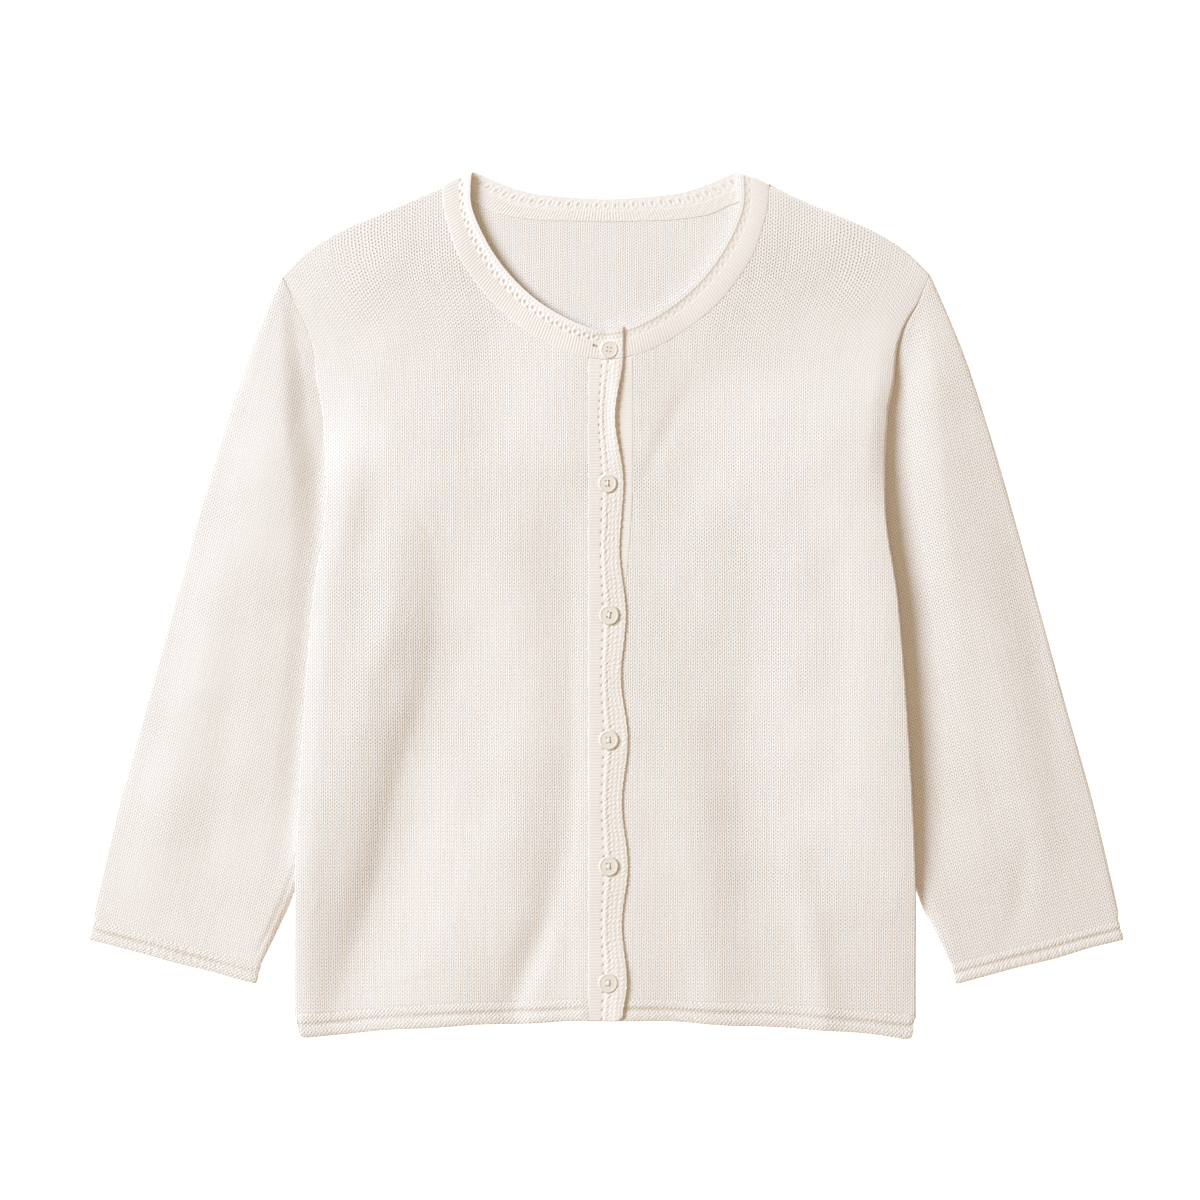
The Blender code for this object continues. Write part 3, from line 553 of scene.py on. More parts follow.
def trim_cloth(name, seed=0):
    """Ribs, eyelets and edgings: plain yarn painted tan where its point mark holds painted shade (rib valleys, trim
    grooves, eyelets, slits) and in the gaps between small stitches; seed is the depth of small stitches.
    """
    w = Weave(name)
    ply = w.math("SINE", w.times(w.math("ADD", w.u, w.v), 2 * TAU))
    along = w.math("ADD", w.u, w.between(w.noise(0.6), -0.45, 0.45))
    across = w.math("ADD", w.v, w.between(w.noise(0.7), -0.9, 0.9))
    stitch = w.times(w.math("SINE", w.times(along, 1.15 * TAU)), w.math("SINE", w.times(across, 0.6 * TAU)))
    body = w.mix(w.between(w.noise(1.8, 3), 0, 0.4), CREAM, CREAM_DEEP)
    gap = w.math("MAXIMUM", w.between(stitch, -0.4, -1.4), 0)
    # Tan where the mark holds painted shade, and in the gaps between small stitches
    hollow = w.math("ADD", w.mark("hollow"), w.times(gap, seed * 0.45))
    height = w.math("MULTIPLY_ADD", ply, 0.05, w.between(w.noise(2.6, 3), 0, 0.5))
    return w.finish(w.mix(hollow, body, SHADE_AND_GAP_TAN), w.math("MULTIPLY_ADD", stitch, seed, height), 0.5, 0.3)


def cloudy(w, scales, colours, strength, distance):
    """Finish a material with two colours in soft clouds and a fine grain."""
    where = w.add("TexCoord").outputs["Object"]
    colour = w.mix(w.noise(*scales[0], where), *colours)
    return w.finish(colour, w.noise(*scales[1], where), strength, distance)


def plastic(name):
    """Cream button plastic, with a faint pearl and a soft shine."""
    w = Weave(name, 0.28, 0, (("Specular IOR Level", 0.5), ("Coat Weight", 0.25), ("Coat Roughness", 0.2)))
    return cloudy(w, ((140, 3), (900, 2)), ((0.84, 0.775, 0.685, 1), (0.76, 0.69, 0.59, 1)), 0.08, 0.1)


def floor_finish():
    w = Weave("floor_white", 0.8, 0, (("Emission Color", (1, 1, 1, 1)), ("Emission Strength", 0.8)))
    return cloudy(w, ((3, 2), (60, 2)), ((0.92, 0.92, 0.92, 1), (0.95, 0.95, 0.95, 1)), 0.02, 0.2)


# Body panels ----

def openness(x, y):
    """How far the stitches of the front are stretched apart."""
    total = 0.45 + 0.25 * ripple(x, y, 90, 3)
    for cx, cy, rx, ry, amount in OPEN_PATCHES:
        total = total + amount * np.exp(-((x - cx) / rx) ** 2 - ((y - cy) / ry) ** 2)
    return np.clip(total, 0, 2.2)


def knit_front(x, y, side):
    """Knit coordinates of a front, whose wales fan out to the shoulder."""
    fan = 0.073 * (1 + np.tanh(1.2 * (y - 193) / 32))
    lean = 6 * ease(np.abs(x), 140, 40) * ease(y, 150, 40)
    bow = 0.12 * np.maximum(np.abs(x) - 110, 0) * ease(y, 110, 90)
    return np.dstack([(x * (1 - fan) - side * lean) / WALE, (y + bow) / COURSE])


def hem_y(table, x):
    return Path(table).y_at(np.abs(x))


def side_curve(side, inset=0):
    return joined(half(ARMHOLE, side, inset), half(SIDE, side, inset), 0.3)


def edge_low(x, y, side):
    """Height of the body's side edge: in the armhole seam, or down round the back."""
    free = front_top(x, y, side) - 1.4 if side < 0 else lift(x, y) + 0.6
    seam = np.interp(y, *zip(*SEAM_HEIGHT[side])) - (0.2 if side < 0 else 0.4)
    return free + (seam - free) * seam_share(y, side)


def edge_share(distance, y, side):
    """Share of the full height near the side: a tight turn and a soft slope, or a wide slope at the seam."""
    if side < 0:
        edge = 0.12 * roll(distance, 0.5) + 0.88 * rise(distance, 14)
        seam = 0.02 * roll(distance, 1) + 0.98 * rise(distance, 50)
    else:
        edge = 0.97 * roll(distance, 1.2) + 0.03 * rise(distance, 10)
        seam = 0.72 * roll(distance, 2) + 0.28 * rise(distance, 14)
    return edge + (seam - edge) * seam_share(y, side)


def seam_creep(y, side):
    """How far the left front reaches over the button band, whose seam runs out of sight."""
    return LEFT_SEAM_CREEP * ease(y, 84, -120) * (side > 0)


def make_front(name, side, finish):
    neck = whole(NECK_SEAM, TUCK)
    seam_x = BAND_SEAM_X[side] - side * TUCK
    neck_end = neck.share_at_x(seam_x)
    run = straight(neck(neck_end), (seam_x, hem_y(HEM_SEAM, seam_x) - TUCK))

    def beside_band(t):
        x, y = xy(run(t))
        return pair(x - seam_creep(y, side), y)

    inner, outer = joined(stretch(neck, (side + 1) / 2, neck_end), beside_band, 0.3), side_curve(side)
    low_x, hem_x = inner(1)[0], outer(1)[0]
    shoulder = Path([inner(0)] + sided(SHOULDER[1:-1], side) + [outer(0)])

    def bottom(u):
        x = low_x + (hem_x - low_x) * u
        return pair(x, hem_y(HEM_SEAM, x) - TUCK * ease(np.abs(hem_x - x), 0, 3))

    plan = patch(inner, outer, shoulder, bottom, crowded(FRONT_GRID[0], 0.8, 0.96), crowded(FRONT_GRID[1], 0.95, 0.5))
    x, y = xy(plan)
    from_side, from_shoulder, from_seam, from_hem = (
        size(plan - edge) for edge in (plan[:, -1:], plan[:1], plan[:, :1], plan[-1:]))
    low = edge_low(x, y, side)
    z = low + (front_top(x, y, side) - low) * edge_share(from_side, y, side)
    z = 0.6 + (z - 0.6) * roll(from_shoulder, 2.4)
    z = z - 0.9 * (ease(from_seam, TUCK, -TUCK) + ease(from_hem, TUCK, -TUCK))
    points = np.dstack([plan, np.maximum(z, 0.4)])
    # The edge turns in under the side; at the shoulder it only rolls down.
    edge, edge_z = plan[:, -1], points[:, -1, 2]
    inward = heading(plan[:, -2] - edge)
    fall = np.minimum(lift(*edge.T) + 0.15 - edge_z, 0)
    turns = [
        np.column_stack([edge + inward * reach, edge_z + fall * share])
        for reach, share in ((0.5, 0.4), (1.6, 0.75), (3.2, 0.95), (5, 1))]
    points = np.concatenate([points, np.stack(turns, axis=1)], axis=1)
    x, y = xy(points)
    shown = np.pad(ease(from_shoulder, 0, 5) * ease(from_side, 0, 1.2), ((0, 0), (0, len(turns))))
    return surface(name, points, knit_front(x, y, side), finish, flip=side > 0, open=openness(x, y) * shown)


def make_back(outside, inside):
    inset, shoulder_share = 1, 0.26
    left, right = side_curve(-1, inset), side_curve(1, inset)
    neck = whole(BACK_NECK_SEAM, TUCK)
    shoulder = [(x - inset * 0.6, y - inset * 0.8) for x, y in SHOULDER[1:-1]]
    left_shoulder = Path([left(0)] + sided(shoulder, -1)[::-1] + [neck(0)])
    right_shoulder = Path([neck(1)] + shoulder + [right(0)])
    rest = joined(neck, right_shoulder, (1 - 2 * shoulder_share) / (1 - shoulder_share))
    top = joined(left_shoulder, rest, shoulder_share)
    low_x = right(1)[0]

    def bottom(u):
        x = low_x * (2 * u - 1)
        return pair(x, hem_y(HEM_SEAM, x) - TUCK)

    plan = patch(left, right, top, bottom, crowded(BACK_GRID[0], 0.4, 0.4), crowded(BACK_GRID[1], 0.7, 0.5))
    x, y = xy(plan)
    ground = lift(x, y)
    knit = np.dstack([x / WALE, (y + 0.12 * np.abs(x)) / COURSE])
    open_mark = unit(0.5 + 0.25 * ripple(x, y, 70, 8))
    # The outside lies on the ground, so every other row and column is enough for it.
    coarse = np.ix_(*(np.append(np.arange(0, n - 1, 2), n - 1) for n in x.shape))
    under = surface(
        "back_panel_outside", np.dstack([plan, ground])[coarse], knit[coarse], outside, True, open=open_mark[coarse])
    over = surface("back_panel_inside", np.dstack([plan, ground + CLOTH]), knit * (1, 1.18), inside, open=open_mark)
    return over, under


# Sleeves ----

def sleeve_plan(side, tuck=0):
    """Plan of a sleeve: share across from the outer fold, share down from the armhole."""
    outer, inner, turn = half(SLEEVE_OUTER, side), half(SLEEVE_INNER, side), half(ARMHOLE[:5], side, tuck)
    end = joined(turn, straight(turn(1), (side * UNDERARM[0], UNDERARM[1])), 0.3)

    def place(across, down):
        across, down = np.broadcast_arrays(across, down)
        bow = end(across) - blend(end(0), end(1), across) + end(0) - outer(0)
        return blend(outer(down), inner(down), across) + bow * (1 - down[..., None]) ** 3

    return place


def around_sleeve(count):
    """Shares across, round the tube from the outer fold, and which of them are on its upper layer."""
    top = crowded(count, 0.92, 0.9)
    return np.append(top, top[-2:0:-1]), np.arange(2 * count - 2) < count


def sleeve_heights(side, x, y, across, upper, down, width):
    radius = SLEEVE_THICKNESS / 2
    outer, inner = across * width, (1 - across) * width
    inside = np.minimum(outer, inner)
    sloped = (0.72 if side < 0 else 0.55) * ease(down, 1, -0.1)
    bulge = radius * np.minimum(roll(outer, 1.7), (1 - sloped) * roll(inner, 1.5) + sloped * rise(inner, 9))
    dome = np.where(across < DOME_SHARE, np.sin(pi * across / DOME_SHARE) ** 2, 0)
    relief = SLEEVE_DOME * dome * ease(down, 0, 0.15) * ease(down, 1, -0.2) + creases(x, y, SLEEVE_CREASES[side])
    relief = relief + 0.16 * ripple(x, y, 45, 11 + side) - sleeve_drop(x, y, side)
    # The stitched seam along the inner fold
    stitched = ease(y, -20, -60) * (1 if side < 0 else 0.4) * ease(down, 1, -0.06)
    relief = relief + stitched * (0.2 * bump(inner - 2.8, 1.3) - 0.5 * bump(inner - 5.4, 0.8))
    soft = roll(inside, 7)
    over = radius + bulge - 0.6 * (1 - soft) + relief * soft
    hidden = np.minimum(over, np.maximum(lift(x, y) - 0.5, 2.6))
    over = over + (hidden - over) * ease(body_edge_x(y) - np.abs(x), 0.4, 2.2)
    return np.where(upper, np.maximum(over, radius), radius - radius * roll(inside, 1.7))


def make_sleeve(name, side, finish):
    across, upper = around_sleeve(SLEEVE_GRID[0])
    down = crowded(SLEEVE_GRID[1], 0.6, 0.3)
    place = sleeve_plan(side)
    A, D = np.meshgrid(across, down)
    plan = place(A, D)
    x, y = xy(plan)
    z = sleeve_heights(side, x, y, A, upper, D, size(place(1, down) - place(0, down))[:, None])
    seam = bump(size(plan - plan[:1]), 1.5) * (A < 0.32) * upper
    z = z - (0.12 if side < 0 else 0.2 + 0.7 * ease(y, 204, -60)) * seam
    # The armhole end runs on under the body, and its lower layer rises to meet it.
    tucked = []
    for reach, share in ((6, 1), (3, 0.6), (1.2, 0.2)):
        spot = sleeve_plan(side, reach)(across, 0)
        meet = lift(*spot.T) + 0.4
        target = np.where(upper, np.minimum(z[0], 2.4 + 0.5 * meet), meet)
        tucked.append(np.column_stack([spot, z[0] + (target - z[0]) * share]))
    points = np.concatenate([tucked, np.dstack([plan, z])])
    x, y = xy(points)
    lean = radians(13 if side < 0 else 14)
    knit = np.dstack([(x * cos(lean) + side * y * sin(lean)) / WALE, (y * cos(lean) - side * x * sin(lean)) / COURSE])
    open_mark = np.clip((0.45 if side < 0 else 0.85) + 0.3 * ripple(x, y, 80, 21 + side), 0, 1.3)
    shown = ease(np.minimum(across, 1 - across), 0.004, 0.012)
    return surface(name, points, knit, finish, flip=side > 0, around=True, open=open_mark * shown)


# Hem and cuff trims ----

def section(table, count):
    """Rows of shares and of heights round a cross-section."""
    return Path(table)(np.linspace(0, 1, count)).T[:, None]


def yarn(along, share):
    """Small upright stitches of a trim."""
    return 0.1 * np.cos(2 * TAU * along / WALE) * ease(share, 0, 0.1) * ease(share, 1, -0.2)


def trim(name, x, y, z, along, share, width, finish, hollow=None, **joins):
    """The mesh of a trim; its groove is painted darker, as dark stitches and as painted shade of the groove, unless a
    mark is given.
    """
    if hollow is None:
        # Painted shade along the groove, broken into stitches
        uneven = np.clip(0.6 + 0.7 * ripple(along, 0, 60, 41), 0.15, 1.3)
        hollow = np.clip(bump(share - 0.43, 0.1) * uneven * (0.26 + 0.14 * np.cos(TAU * along / 2.3)), 0, 0.7)
    knit = np.dstack(np.broadcast_arrays(along / WALE, share * width / 1.5))
    return surface(name, np.dstack(np.broadcast_arrays(x, y, z)), knit, finish, around=True, hollow=hollow, **joins)


def make_cuff(name, side, finish):
    across, upper = around_sleeve(CUFF_AROUND)
    place = sleeve_plan(side)
    outer, inner = place(np.array([0, 1]), 1)
    plan = place(across, 1)
    width = size(inner - outer)
    z = sleeve_heights(side, *plan.T, across, upper, 1, width)
    line = (outer - inner) / width
    away = side * np.array([line[1], -line[0]])
    ring = np.column_stack([(plan - inner) @ line, z])
    tangent = heading(np.roll(ring, -1, axis=0) - np.roll(ring, 1, axis=0))
    out = pair(tangent[:, 1], -tangent[:, 0])
    travel = np.cumsum(size(ring - np.roll(ring, 1, axis=0)))[:, None]
    share, height = section(TRIM_OUTSIDE, 46)
    height = height + yarn(travel, share)
    down = (CUFF_HEIGHT + 0.5 * ripple(travel, 0, 45, 31 + side)) * share
    x, y = (plan[:, k, None] + away[k] * down + line[k] * out[:, :1] * height for k in (0, 1))
    z = np.maximum(z[:, None] + out[:, 1:] * height, 0.02)
    return trim(name, x, y, z, travel, share, CUFF_HEIGHT, finish, flip=side < 0, closed=True)


def make_hem(name, side, finish):
    """A front hem trim; the outer end rolls down round the side."""
    outer_x = side * SIDE[-1][0]
    inner_x = BAND_SEAM_X[side] - LEFT_SEAM_CREEP * (side > 0) - side * TUCK
    x = outer_x + (inner_x - outer_x) * (1 - np.linspace(0, 1, HEM_STATIONS)[:, None]) ** 1.12
    share, height = section(TRIM_OUTSIDE, 48)
    top_y, low_y = hem_y(HEM_SEAM, x), hem_y(HEM_EDGE, x)
    y = top_y + (low_y - top_y + 0.7 * ripple(x, 0, 55, 51 + side)) * share
    ground = lift(x, top_y) + 0.5
    from_inner, from_outer = np.abs(x - inner_x), np.abs(outer_x - x)
    deep = (1 + 0.35 * ripple(x, 0, 70, 61)) * ease(from_inner, 1, 6)
    height = np.where(height > -0.3, (height + yarn(x, share)) * deep, height)
    base = ground + CLOTH
    z = base + (front_top(x, top_y, side) + height - base) * (0.3 + 0.7 * roll(from_outer, 6))
    z = np.maximum(z, ground * 0.4) - 0.5 * ease(from_inner, 1.4, -0.6)
    # Both ends close up.
    middle = np.mean(z, axis=1, keepdims=True)
    z = middle + (z - middle) * np.sqrt(ease(from_outer) * ease(from_inner, -0.1, 0.3))
    return trim(name, x, y, z, x, share, HEM_HEIGHT, finish, flip=side > 0)


def make_back_hem(finish):
    x = np.linspace(-1, 1, BACK_HEM_STATIONS)[:, None] * (SIDE[-1][0] - 0.6)
    share, height = section(BACK_HEM_OUTSIDE, 30)
    top_y, low_y = hem_y(HEM_SEAM, x), hem_y(HEM_EDGE, x)
    y = top_y + (low_y + 0.8 - top_y) * share
    z = np.maximum(height, 0.02) + 0.06 * np.cos(2 * TAU * x / WALE) * (share > 0.1)
    return trim("hem_back_trim", x, y, np.maximum(z, 0.02), x, share, HEM_HEIGHT, finish, hollow=0, flip=True)


# Neckband and front bands ----

def flat_section(top_rows, thickness, width):
    """Closed cross-section of a flat band: share across, height and share of relief at each point."""
    rim = RIM / width
    turn = np.concatenate([np.zeros(top_rows - 1), np.linspace(0, pi, 9), np.full(5, pi)])
    flat = np.concatenate([np.linspace(0, 1 - rim, top_rows), np.full(8, 1 - rim), np.linspace(1 - rim, 0, 6)[1:]])
    return flat + rim * np.sin(turn), thickness / 2 * (np.cos(turn) - 1), np.maximum(np.cos(turn), 0)


def make_band(name, place, top, length, width, relief, finish, grid, flip, thickness=1.9, ground=-np.inf):
    """A band with worked relief: place gives the plan, top the cloth's height, relief the knitting, its painted shade
    and its darker gaps.
    """
    q, h, take = flat_section(grid[1], thickness, width)
    T, Q = np.meshgrid(np.linspace(0, 1, grid[0]), q, indexing="ij")
    plan = place(T, Q)
    x, y = xy(plan)
    height, hollow = relief(T * length, Q * width, x, y)
    ends = ease(T * length, 0, 1.2) * ease((1 - T) * length, 0, 1.2)
    face = top(x, y, T)
    z = face + h + take * height * ends
    middle = face - thickness / 2
    z = np.maximum(np.where(ends < 1, middle + (z - middle) * np.sqrt(ends), z), ground)
    knit = np.dstack([T * length / WALE, Q * width / WALE])
    return surface(name, np.dstack([plan, z]), knit, finish, flip=flip, around=True, hollow=take * hollow)


def rope(s, pitch):
    """Cross waves of a twisted yarn."""
    return 0.5 + 0.5 * np.cos(TAU * s / pitch)


def bobbles(s, w, along=2.65, across=2.9):
    """Small raised stitches in staggered columns."""
    column = np.round(w / across)
    return rope(s + 0.5 * along * column, along) * np.cos(pi * (w / across - column)) ** 2


def from_nearest(s, pitch, lead=0):
    """Distance from the nearest of evenly spaced marks."""
    turns = s / pitch + lead
    return (turns - np.round(turns)) * pitch


def neckband_relief(s, w, x, y):
    """Ribs, a chained eyelet row and a soft edging, with painted shade in the rib valleys, eyelets and buttonhole
    slit; w runs from the seam.
    """
    plain = ease(np.abs(x - 4), 7, 3)
    ribs = 0.18 * rope(s, NECK_RIB) * ease(w, 0.2) * ease(w, 12.2, -0.9) * plain
    cushion = 0.22 * np.sin(pi * unit(w / 12.6))
    notch = bump(from_nearest(s, EYELET_PITCH, 0.5) + 0.3 * (w - 12.8), 0.9) * bump(w - 12.8, 0.8) * plain
    reach = np.hypot(from_nearest(s, EYELET_PITCH) / 1.3, w - 14.5)
    eyelet = bump(reach, 0.95) * plain
    loop = 0.28 * bump(reach - 1.75, 0.6) * plain * np.where(x < 6, 1, 0.35)
    shown = 1 - 0.75 * ease(x, 5, 6)
    edge = ease(w, 16, 1.2)
    edging = 0.3 * edge + 0.22 * bobbles(s, w) * np.maximum(edge, 1 - plain)
    slit = bump(np.hypot(*beside(x, y, *SLIT)[1:]), 0.55)
    height = ribs + cushion + loop + edging - shown * (0.6 * notch + 0.5 * eyelet) - 1.2 * slit
    # Painted shade in the rib valleys, the notches and eyelets (weaker on the +X side) and the buttonhole slit
    valley = 0.2 * (1 - rope(s, NECK_RIB)) * ease(w, 0.2) * ease(w, 12, -0.8) * plain
    return height, unit(valley + shown * (0.55 * notch + 0.38 * eyelet) + 1.3 * slit)


def back_neckband_relief(s, w, x, y):
    """The same band from its inner face: shallow ribs, round eyelets and a plain edging, with painted shade in the
    rib valleys and eyelets.
    """
    ribs = 0.2 * rope(s, NECK_RIB) * ease(w, 0.3, 0.8) * ease(w, 7.2, -0.9)
    k = from_nearest(s, EYELET_PITCH)
    reach = np.hypot(k, w - 10.4)
    eyelet = bump(reach - 0.7, 0.45) * ease(k - 0.4 * (w - 10.4), -0.9, 1.2)
    height = ribs + 0.16 * bump(reach - 1.9, 0.7) - 0.4 * eyelet + 0.08 * ripple(s, w, 2.2, 73)
    # Painted shade in the rib valleys and the eyelets
    valley = 0.16 * (1 - rope(s, NECK_RIB)) * ease(w, 0.6, 0.8) * ease(w, 7, -0.8)
    return height, unit(valley + 0.36 * eyelet)


def front_band_relief(s, w, x, y):
    """Fine cross ribs, two columns of eyelets with twisted loops between them, and a strip of seed stitches, with
    painted shade in the rib valleys and both eyelet columns.
    """
    pitch = 5.25 + 0.6 * ease(s, 80, 60)
    ribs = 0.16 * rope(s, BAND_RIB) * ease(w, 0.1, 0.8) * ease(w, 7.6, -0.8)
    dots = bump(from_nearest(s, pitch) + 0.3 * (w - 8.4), 0.85) * bump(w - 8.4, 0.42)
    away = from_nearest(s, pitch, 0.4)
    marks = bump(away, 1.25) * bump(w - 12.3 - 0.16 * away ** 2, 0.45)
    strip = ease(w, 8.6, 2)
    loops = 0.2 * bump(w - 10.4, 1.4) * rope(s + 1.3 * w, pitch / 2)
    slant = 0.75 * np.maximum(w - 12.5, 0)
    seeds = bobbles(s + slant + 0.5 * ripple(s, w, 9, 75), w + 0.5 * ripple(s, w, 12, 77), pitch / 2, 2.6)
    height = ribs + loops + strip * (0.05 + 0.28 * seeds + 0.06 * ripple(s, w, 2.4, 79)) - 0.8 * dots - 0.4 * marks
    # Painted shade in the rib valleys and in both eyelet columns (dots and marks); the gaps between seed stitches are
    # darker too
    valley = 0.14 * (1 - rope(s, BAND_RIB)) * ease(w, 0.1, 0.8) * ease(w, 7.4, -0.8)
    gaps = 0.19 * strip * (1 - seeds) ** 3
    return height, unit(valley + gaps + 0.58 * dots + 0.27 * marks)


def gape(x, y, side):
    """How far the upper front stands off the lower one between the first buttons and at the hem."""
    height = 1.6 * bump(y - 124, 32) + 0.9 * bump(y - 178, 16) + 0.9 * ease(y, -215, -35)
    return height * ease(x, -1, 9) * (side < 0)


def make_front_neckband(name, side, free_x, stations, finish):
    paths = whole(NECK_SEAM), whole(NECK_EDGE)
    start = (side + 1) / 2
    seam, edge = (stretch(path, start, path.share_at_x(free_x)) for path in paths)
    length = abs(paths[0].share_at_x(free_x) - start) * paths[0].length

    def place(t, q):
        plan = blend(seam(t), edge(t), q)
        plan[..., 1] += 1.3 * np.sin(pi * unit(q)) * ease(t * length, 9, -9)
        return plan

    def top(x, y, t):
        low = lift(x, y) + 2
        across = size(np.dstack([x, y]) - seam(t)) / size(edge(t) - seam(t))
        turned_up = (1.6 if side < 0 else 0.5) * ease(across, 0.5, 0.5) * ease(side * x, -16, 24)
        return low + (front_top(x, y, side) - low + turned_up + gape(x, y, side)) * roll(t * length, 3)

    return make_band(
        name, place, top, length, NECKBAND_WIDTH, neckband_relief, finish, (stations, 52), side < 0, ground=0.9)


def make_back_neckband(finish):
    seam, edge = whole(BACK_NECK_SEAM), whole(BACK_NECK_EDGE)

    def place(t, q):
        return blend(seam(t), edge(t), q)

    def top(x, y, t):
        return 1.75 + np.where(x < 0, 1.7, 1) * (1 - rise(np.minimum(t, 1 - t) * seam.length, 11))

    return make_band(
        "neckband_back_cloth", place, top, seam.length, BACK_NECKBAND_WIDTH, back_neckband_relief, finish, (780, 40),
        True, thickness=1.7, ground=0.02)


def band_edge_x(y):
    """Free edge of the upper band, which swings out at each button."""
    edge = np.full(np.shape(y), float(BAND_EDGE[0][1]))
    for (y0, x0), (y1, x1) in zip(BAND_EDGE, BAND_EDGE[1:]):
        edge = np.where(y < y0, x0 + (x1 - x0) * ease(y, y0, y1 - y0), edge)
    return edge


def button_dip(x, y):
    """How far the buttons press the cloth in, from 0 to 1."""
    return np.max([bump(np.maximum(np.hypot(x - cx, y - cy) - 3, 0), 4) for cx, cy in BUTTONS], axis=0)


def make_front_band(name, side, edge_x, grid, finish):
    length = BAND_TOP_Y - HEM_EDGE[0][1]
    neck = whole(NECK_SEAM)

    def place(t, q):
        y = BAND_TOP_Y - length * t
        seam_x = BAND_SEAM_X[side] - seam_creep(y, side)
        scallop = SCALLOP_DEPTH * np.cos(TAU * t * length / SCALLOP_PITCH) * q ** 4
        x = seam_x + (edge_x(y) - side * scallop - seam_x) * q
        over = (neck.y_at(x) + 1.4 - BAND_TOP_Y) * ease(t * length, 12, -12)
        corner = 2.6 * ease(q, 0.82, 0.18) * ease((1 - t) * length, 3, -3)
        return np.dstack([x, y + over + corner])

    def top(x, y, t):
        pressed = BUTTON_DIP * button_dip(x, y) + 0.5 * ease(t * length, 2.8, -2.2)
        return front_top(x, y, side) + gape(x, y, side) - pressed

    return make_band(name, place, top, length, BAND_WIDTH, front_band_relief, finish, grid, side < 0)


# Buttons ----

def turned(name, profile, sides):
    """A closed turned solid about Z, at the origin."""
    angles = np.linspace(0, TAU, sides, endpoint=False)
    rings = [(r * cos(a), r * sin(a), z) for r, z in profile[1:-1] for a in angles]
    verts = np.array([(0, 0, profile[0][1])] + rings + [(0, 0, profile[-1][1])]) * MM
    last = len(rings) - sides + 1
    faces = []
    for j in range(sides):
        k = (j + 1) % sides
        faces.append((0, 1 + j, 1 + k))
        faces += [(a + j, a + sides + j, a + sides + k, a + k) for a in range(1, last, sides)]
        faces.append((last + j, len(rings) + 1, last + k))
    mesh = bpy.data.meshes.new(name)
    mesh.from_pydata(verts.tolist(), [], faces)
    return placed(name, mesh)


def make_button(number, x, y, base, finish):
    share, turn = BUTTON_SIZES[number - 1], radians(BUTTON_TURNS[number - 1])
    profile = [(r * share, z) for r, z in Path(BUTTON_PROFILE[1:-1])(np.linspace(0, 1, 34))]
    made = turned("button_%d_turned" % number, [BUTTON_PROFILE[0]] + profile + [BUTTON_PROFILE[-1]], 72)
    across, along = HOLE_SPREAD if number == 1 else SEWN_SPREAD
    cutters = []
    for a, b in ((-across, -along), (-across, along), (across, -along), (across, along)):
        cutters.append(turned("cutter", HOLE_PROFILE, 20))
        cutters[-1].location = ((a * cos(turn) - b * sin(turn)) * MM, (a * sin(turn) + b * cos(turn)) * MM, 0)
        cut = made.modifiers.new("hole", "BOOLEAN")
        cut.operation, cut.object = "DIFFERENCE", cutters[-1]
    bpy.context.view_layer.update()
    mesh = bpy.data.meshes.new_from_object(made.evaluated_get(bpy.context.evaluated_depsgraph_get()))
    made.modifiers.clear()
    made.data = mesh
    for cutter in cutters:
        bpy.data.objects.remove(cutter, do_unlink=True)
    mesh.materials.clear()
    mesh.materials.append(finish)
    mesh.shade_smooth()
    mesh.set_sharp_from_angle(angle=radians(40))
    made.location = (x * MM, y * MM, base * MM)
    return made


def make_thread(number, x, y, base, finish):
    """Strands of yarn that hold a button, drawn together between its upper and lower holes."""
    t = np.linspace(0, 1, 15)[:, None]
    angle = np.linspace(0, TAU, 8, endpoint=False)
    radius, strands = 0.34, []
    for k, lane in enumerate((-1, -1 / 3, 1 / 3, 1)):
        cx = x + lane * THREAD_SPREAD[number] * (1 + 0.25 * np.cos(TAU * t))
        cz = base + 0.9 + 0.85 * np.sin(pi * t) ** 0.5 + 0.08 * (k % 2)
        ring = np.dstack(np.broadcast_arrays(
            cx + radius * np.cos(angle), y + 1.75 - 3.5 * t, cz + radius * np.sin(angle)))
        strands.append(surface("strand", ring, ring[..., :2] / 1.2, finish, around=True, hollow=0))
    with bpy.context.temp_override(active_object=strands[0], selected_editable_objects=strands):
        bpy.ops.object.join()
    strands[0].name = "button_%d_thread" % number
    return strands[0]


# The garment ----

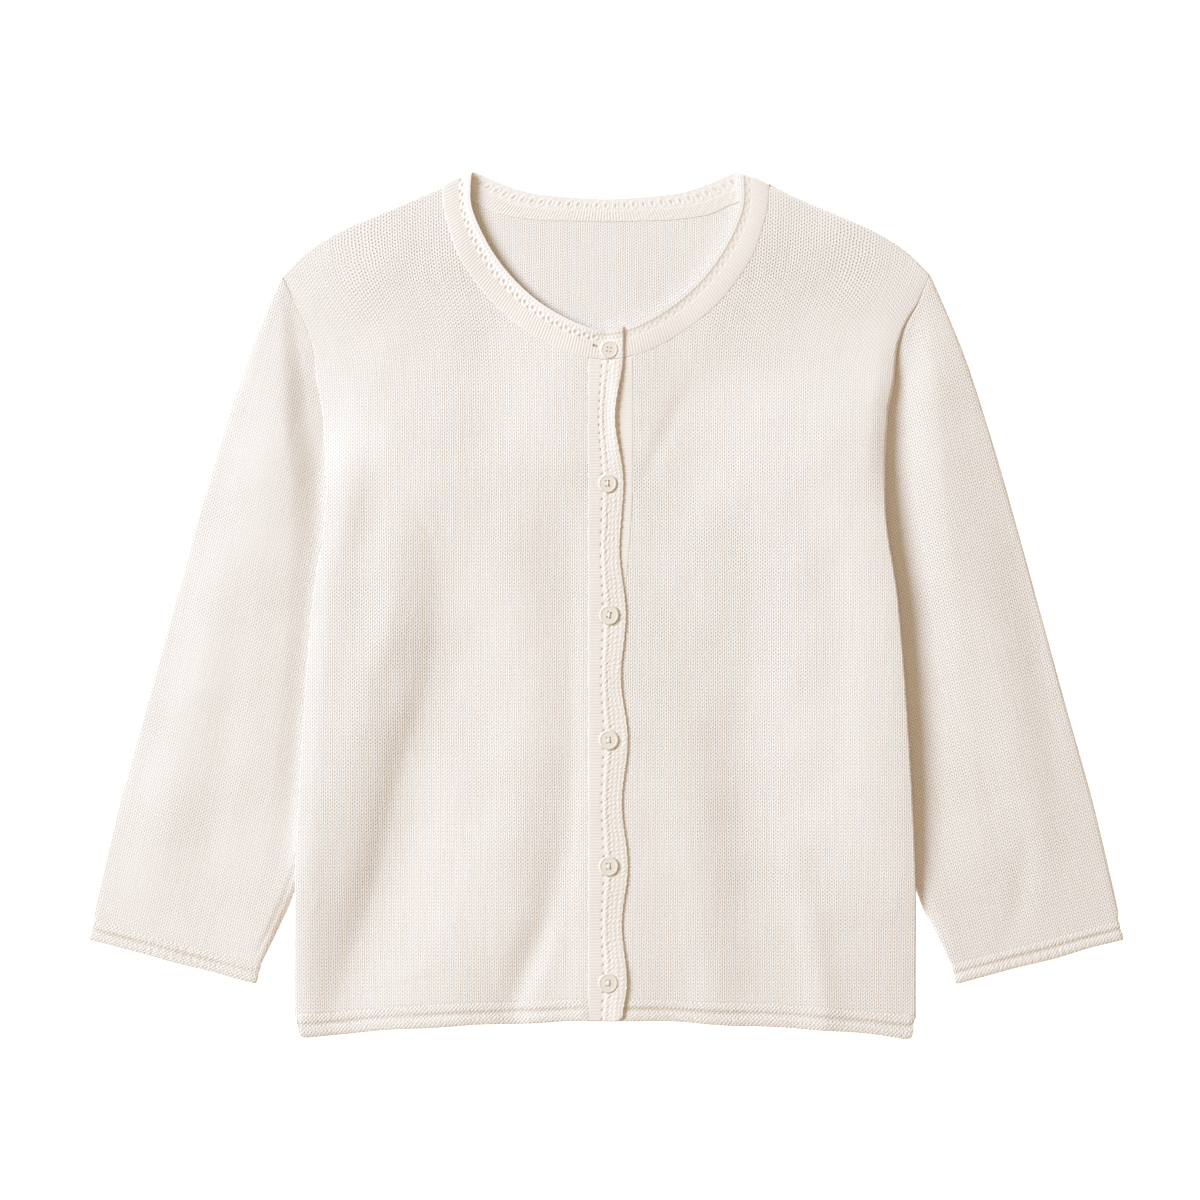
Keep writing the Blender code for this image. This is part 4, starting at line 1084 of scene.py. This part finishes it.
def build_garment():
    jersey, inside = knit_cloth("cream_jersey"), knit_cloth("cream_jersey_inside")
    rib, ridged, button = trim_cloth("cream_rib"), trim_cloth("cream_trim", seed=1.5), plastic("cream_button")

    for side, word in ((-1, "right"), (1, "left")):
        for part, maker, ending, finish, slot in (
                ("front_panel_", make_front, "_cloth", jersey, "jersey"),
                ("sleeve_", make_sleeve, "_cloth", jersey, "jersey"),
                ("cuff_", make_cuff, "_trim", ridged, "trim"),
                ("hem_front_", make_hem, "_trim", ridged, "trim")):
            node = part + word
            piece(maker(node + ending, side, finish), slot, node)
    for side, node, free_x, stations in (
            (-1, "neckband_right", NECKBAND_END_X, 620), (1, "neckband_left", BAND_FREE_X, 560)):
        band = make_front_neckband(node + "_cloth", side, free_x, stations, rib)
        piece(band, "rib", node)
    for side, node, edge_x, grid in (
            (-1, "buttonhole_band", band_edge_x, (1350, 52)), (1, "button_band", lambda y: BAND_FREE_X, (880, 44))):
        piece(make_front_band(node + "_cloth", side, edge_x, grid, rib), "rib", node)
    back, back_outside = make_back(jersey, inside)
    piece(back, "jersey", "back_panel")
    piece(back_outside, "jersey")
    back_hem = piece(make_back_hem(ridged), "trim", "hem_back")
    back_neckband = piece(make_back_neckband(rib), "rib", "neckband_back")

    for number, (x, y) in enumerate(BUTTONS, start=1):
        node = "button_%d" % number
        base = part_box(node)[0].z / MM - BUTTON_SUNK
        piece(make_button(number, x, y, base, button), "button", node)
        if number > 1:
            piece(make_thread(number, x, y, base, rib), "rib")


# Floor, light and camera ----

def build_studio():
    reach, drop = 12, -0.0004
    mesh = bpy.data.meshes.new("floor")
    corners = [(x * reach, y * reach, drop) for x, y in ((-1, -1), (1, -1), (1, 1), (-1, 1))]
    mesh.from_pydata(corners, [], [(0, 1, 2, 3)])
    mesh.uv_layers.new(name="knit")
    mesh.materials.append(floor_finish())
    placed("floor", mesh)

    sky = Nodes(bpy.data.worlds.new("studio"))
    bpy.context.scene.world = sky.owner
    up = sky.add("SeparateXYZ", {0: sky.add("TexCoord").outputs["Generated"]}).outputs[2]
    height = sky.add("MapRange", {0: up, 1: 0.05, 2: 0.35}).outputs[0]
    shader = sky.tree.nodes["Background"].inputs
    sky.set(shader["Strength"], SKY_STRENGTH)
    sky.set(shader["Color"], sky.mix(height, SKY_LOW, SKY_HIGH))

    lamp = bpy.data.lights.new("key", "AREA")
    lamp.shape, lamp.size, lamp.energy, lamp.color = "DISK", KEY_SIZE, KEY_POWER, KEY_COLOUR
    key = placed("key", lamp)
    key.location = KEY_PLACE
    x, y, z = np.negative(KEY_PLACE)
    key.rotation_euler = (acos(-z / size(KEY_PLACE)), 0, atan2(y, x) - pi / 2)

    lens = bpy.data.cameras.new("camera")
    lens.lens, lens.sensor_width, lens.clip_end = LENS, SENSOR, 50
    camera = placed("camera", lens)
    camera.location = (-0.0036, 0.0029, VIEW_WIDTH * LENS / SENSOR)
    bpy.context.scene.camera = camera
    bpy.context.scene.view_settings.view_transform = "Standard"


build_studio()
build_garment()
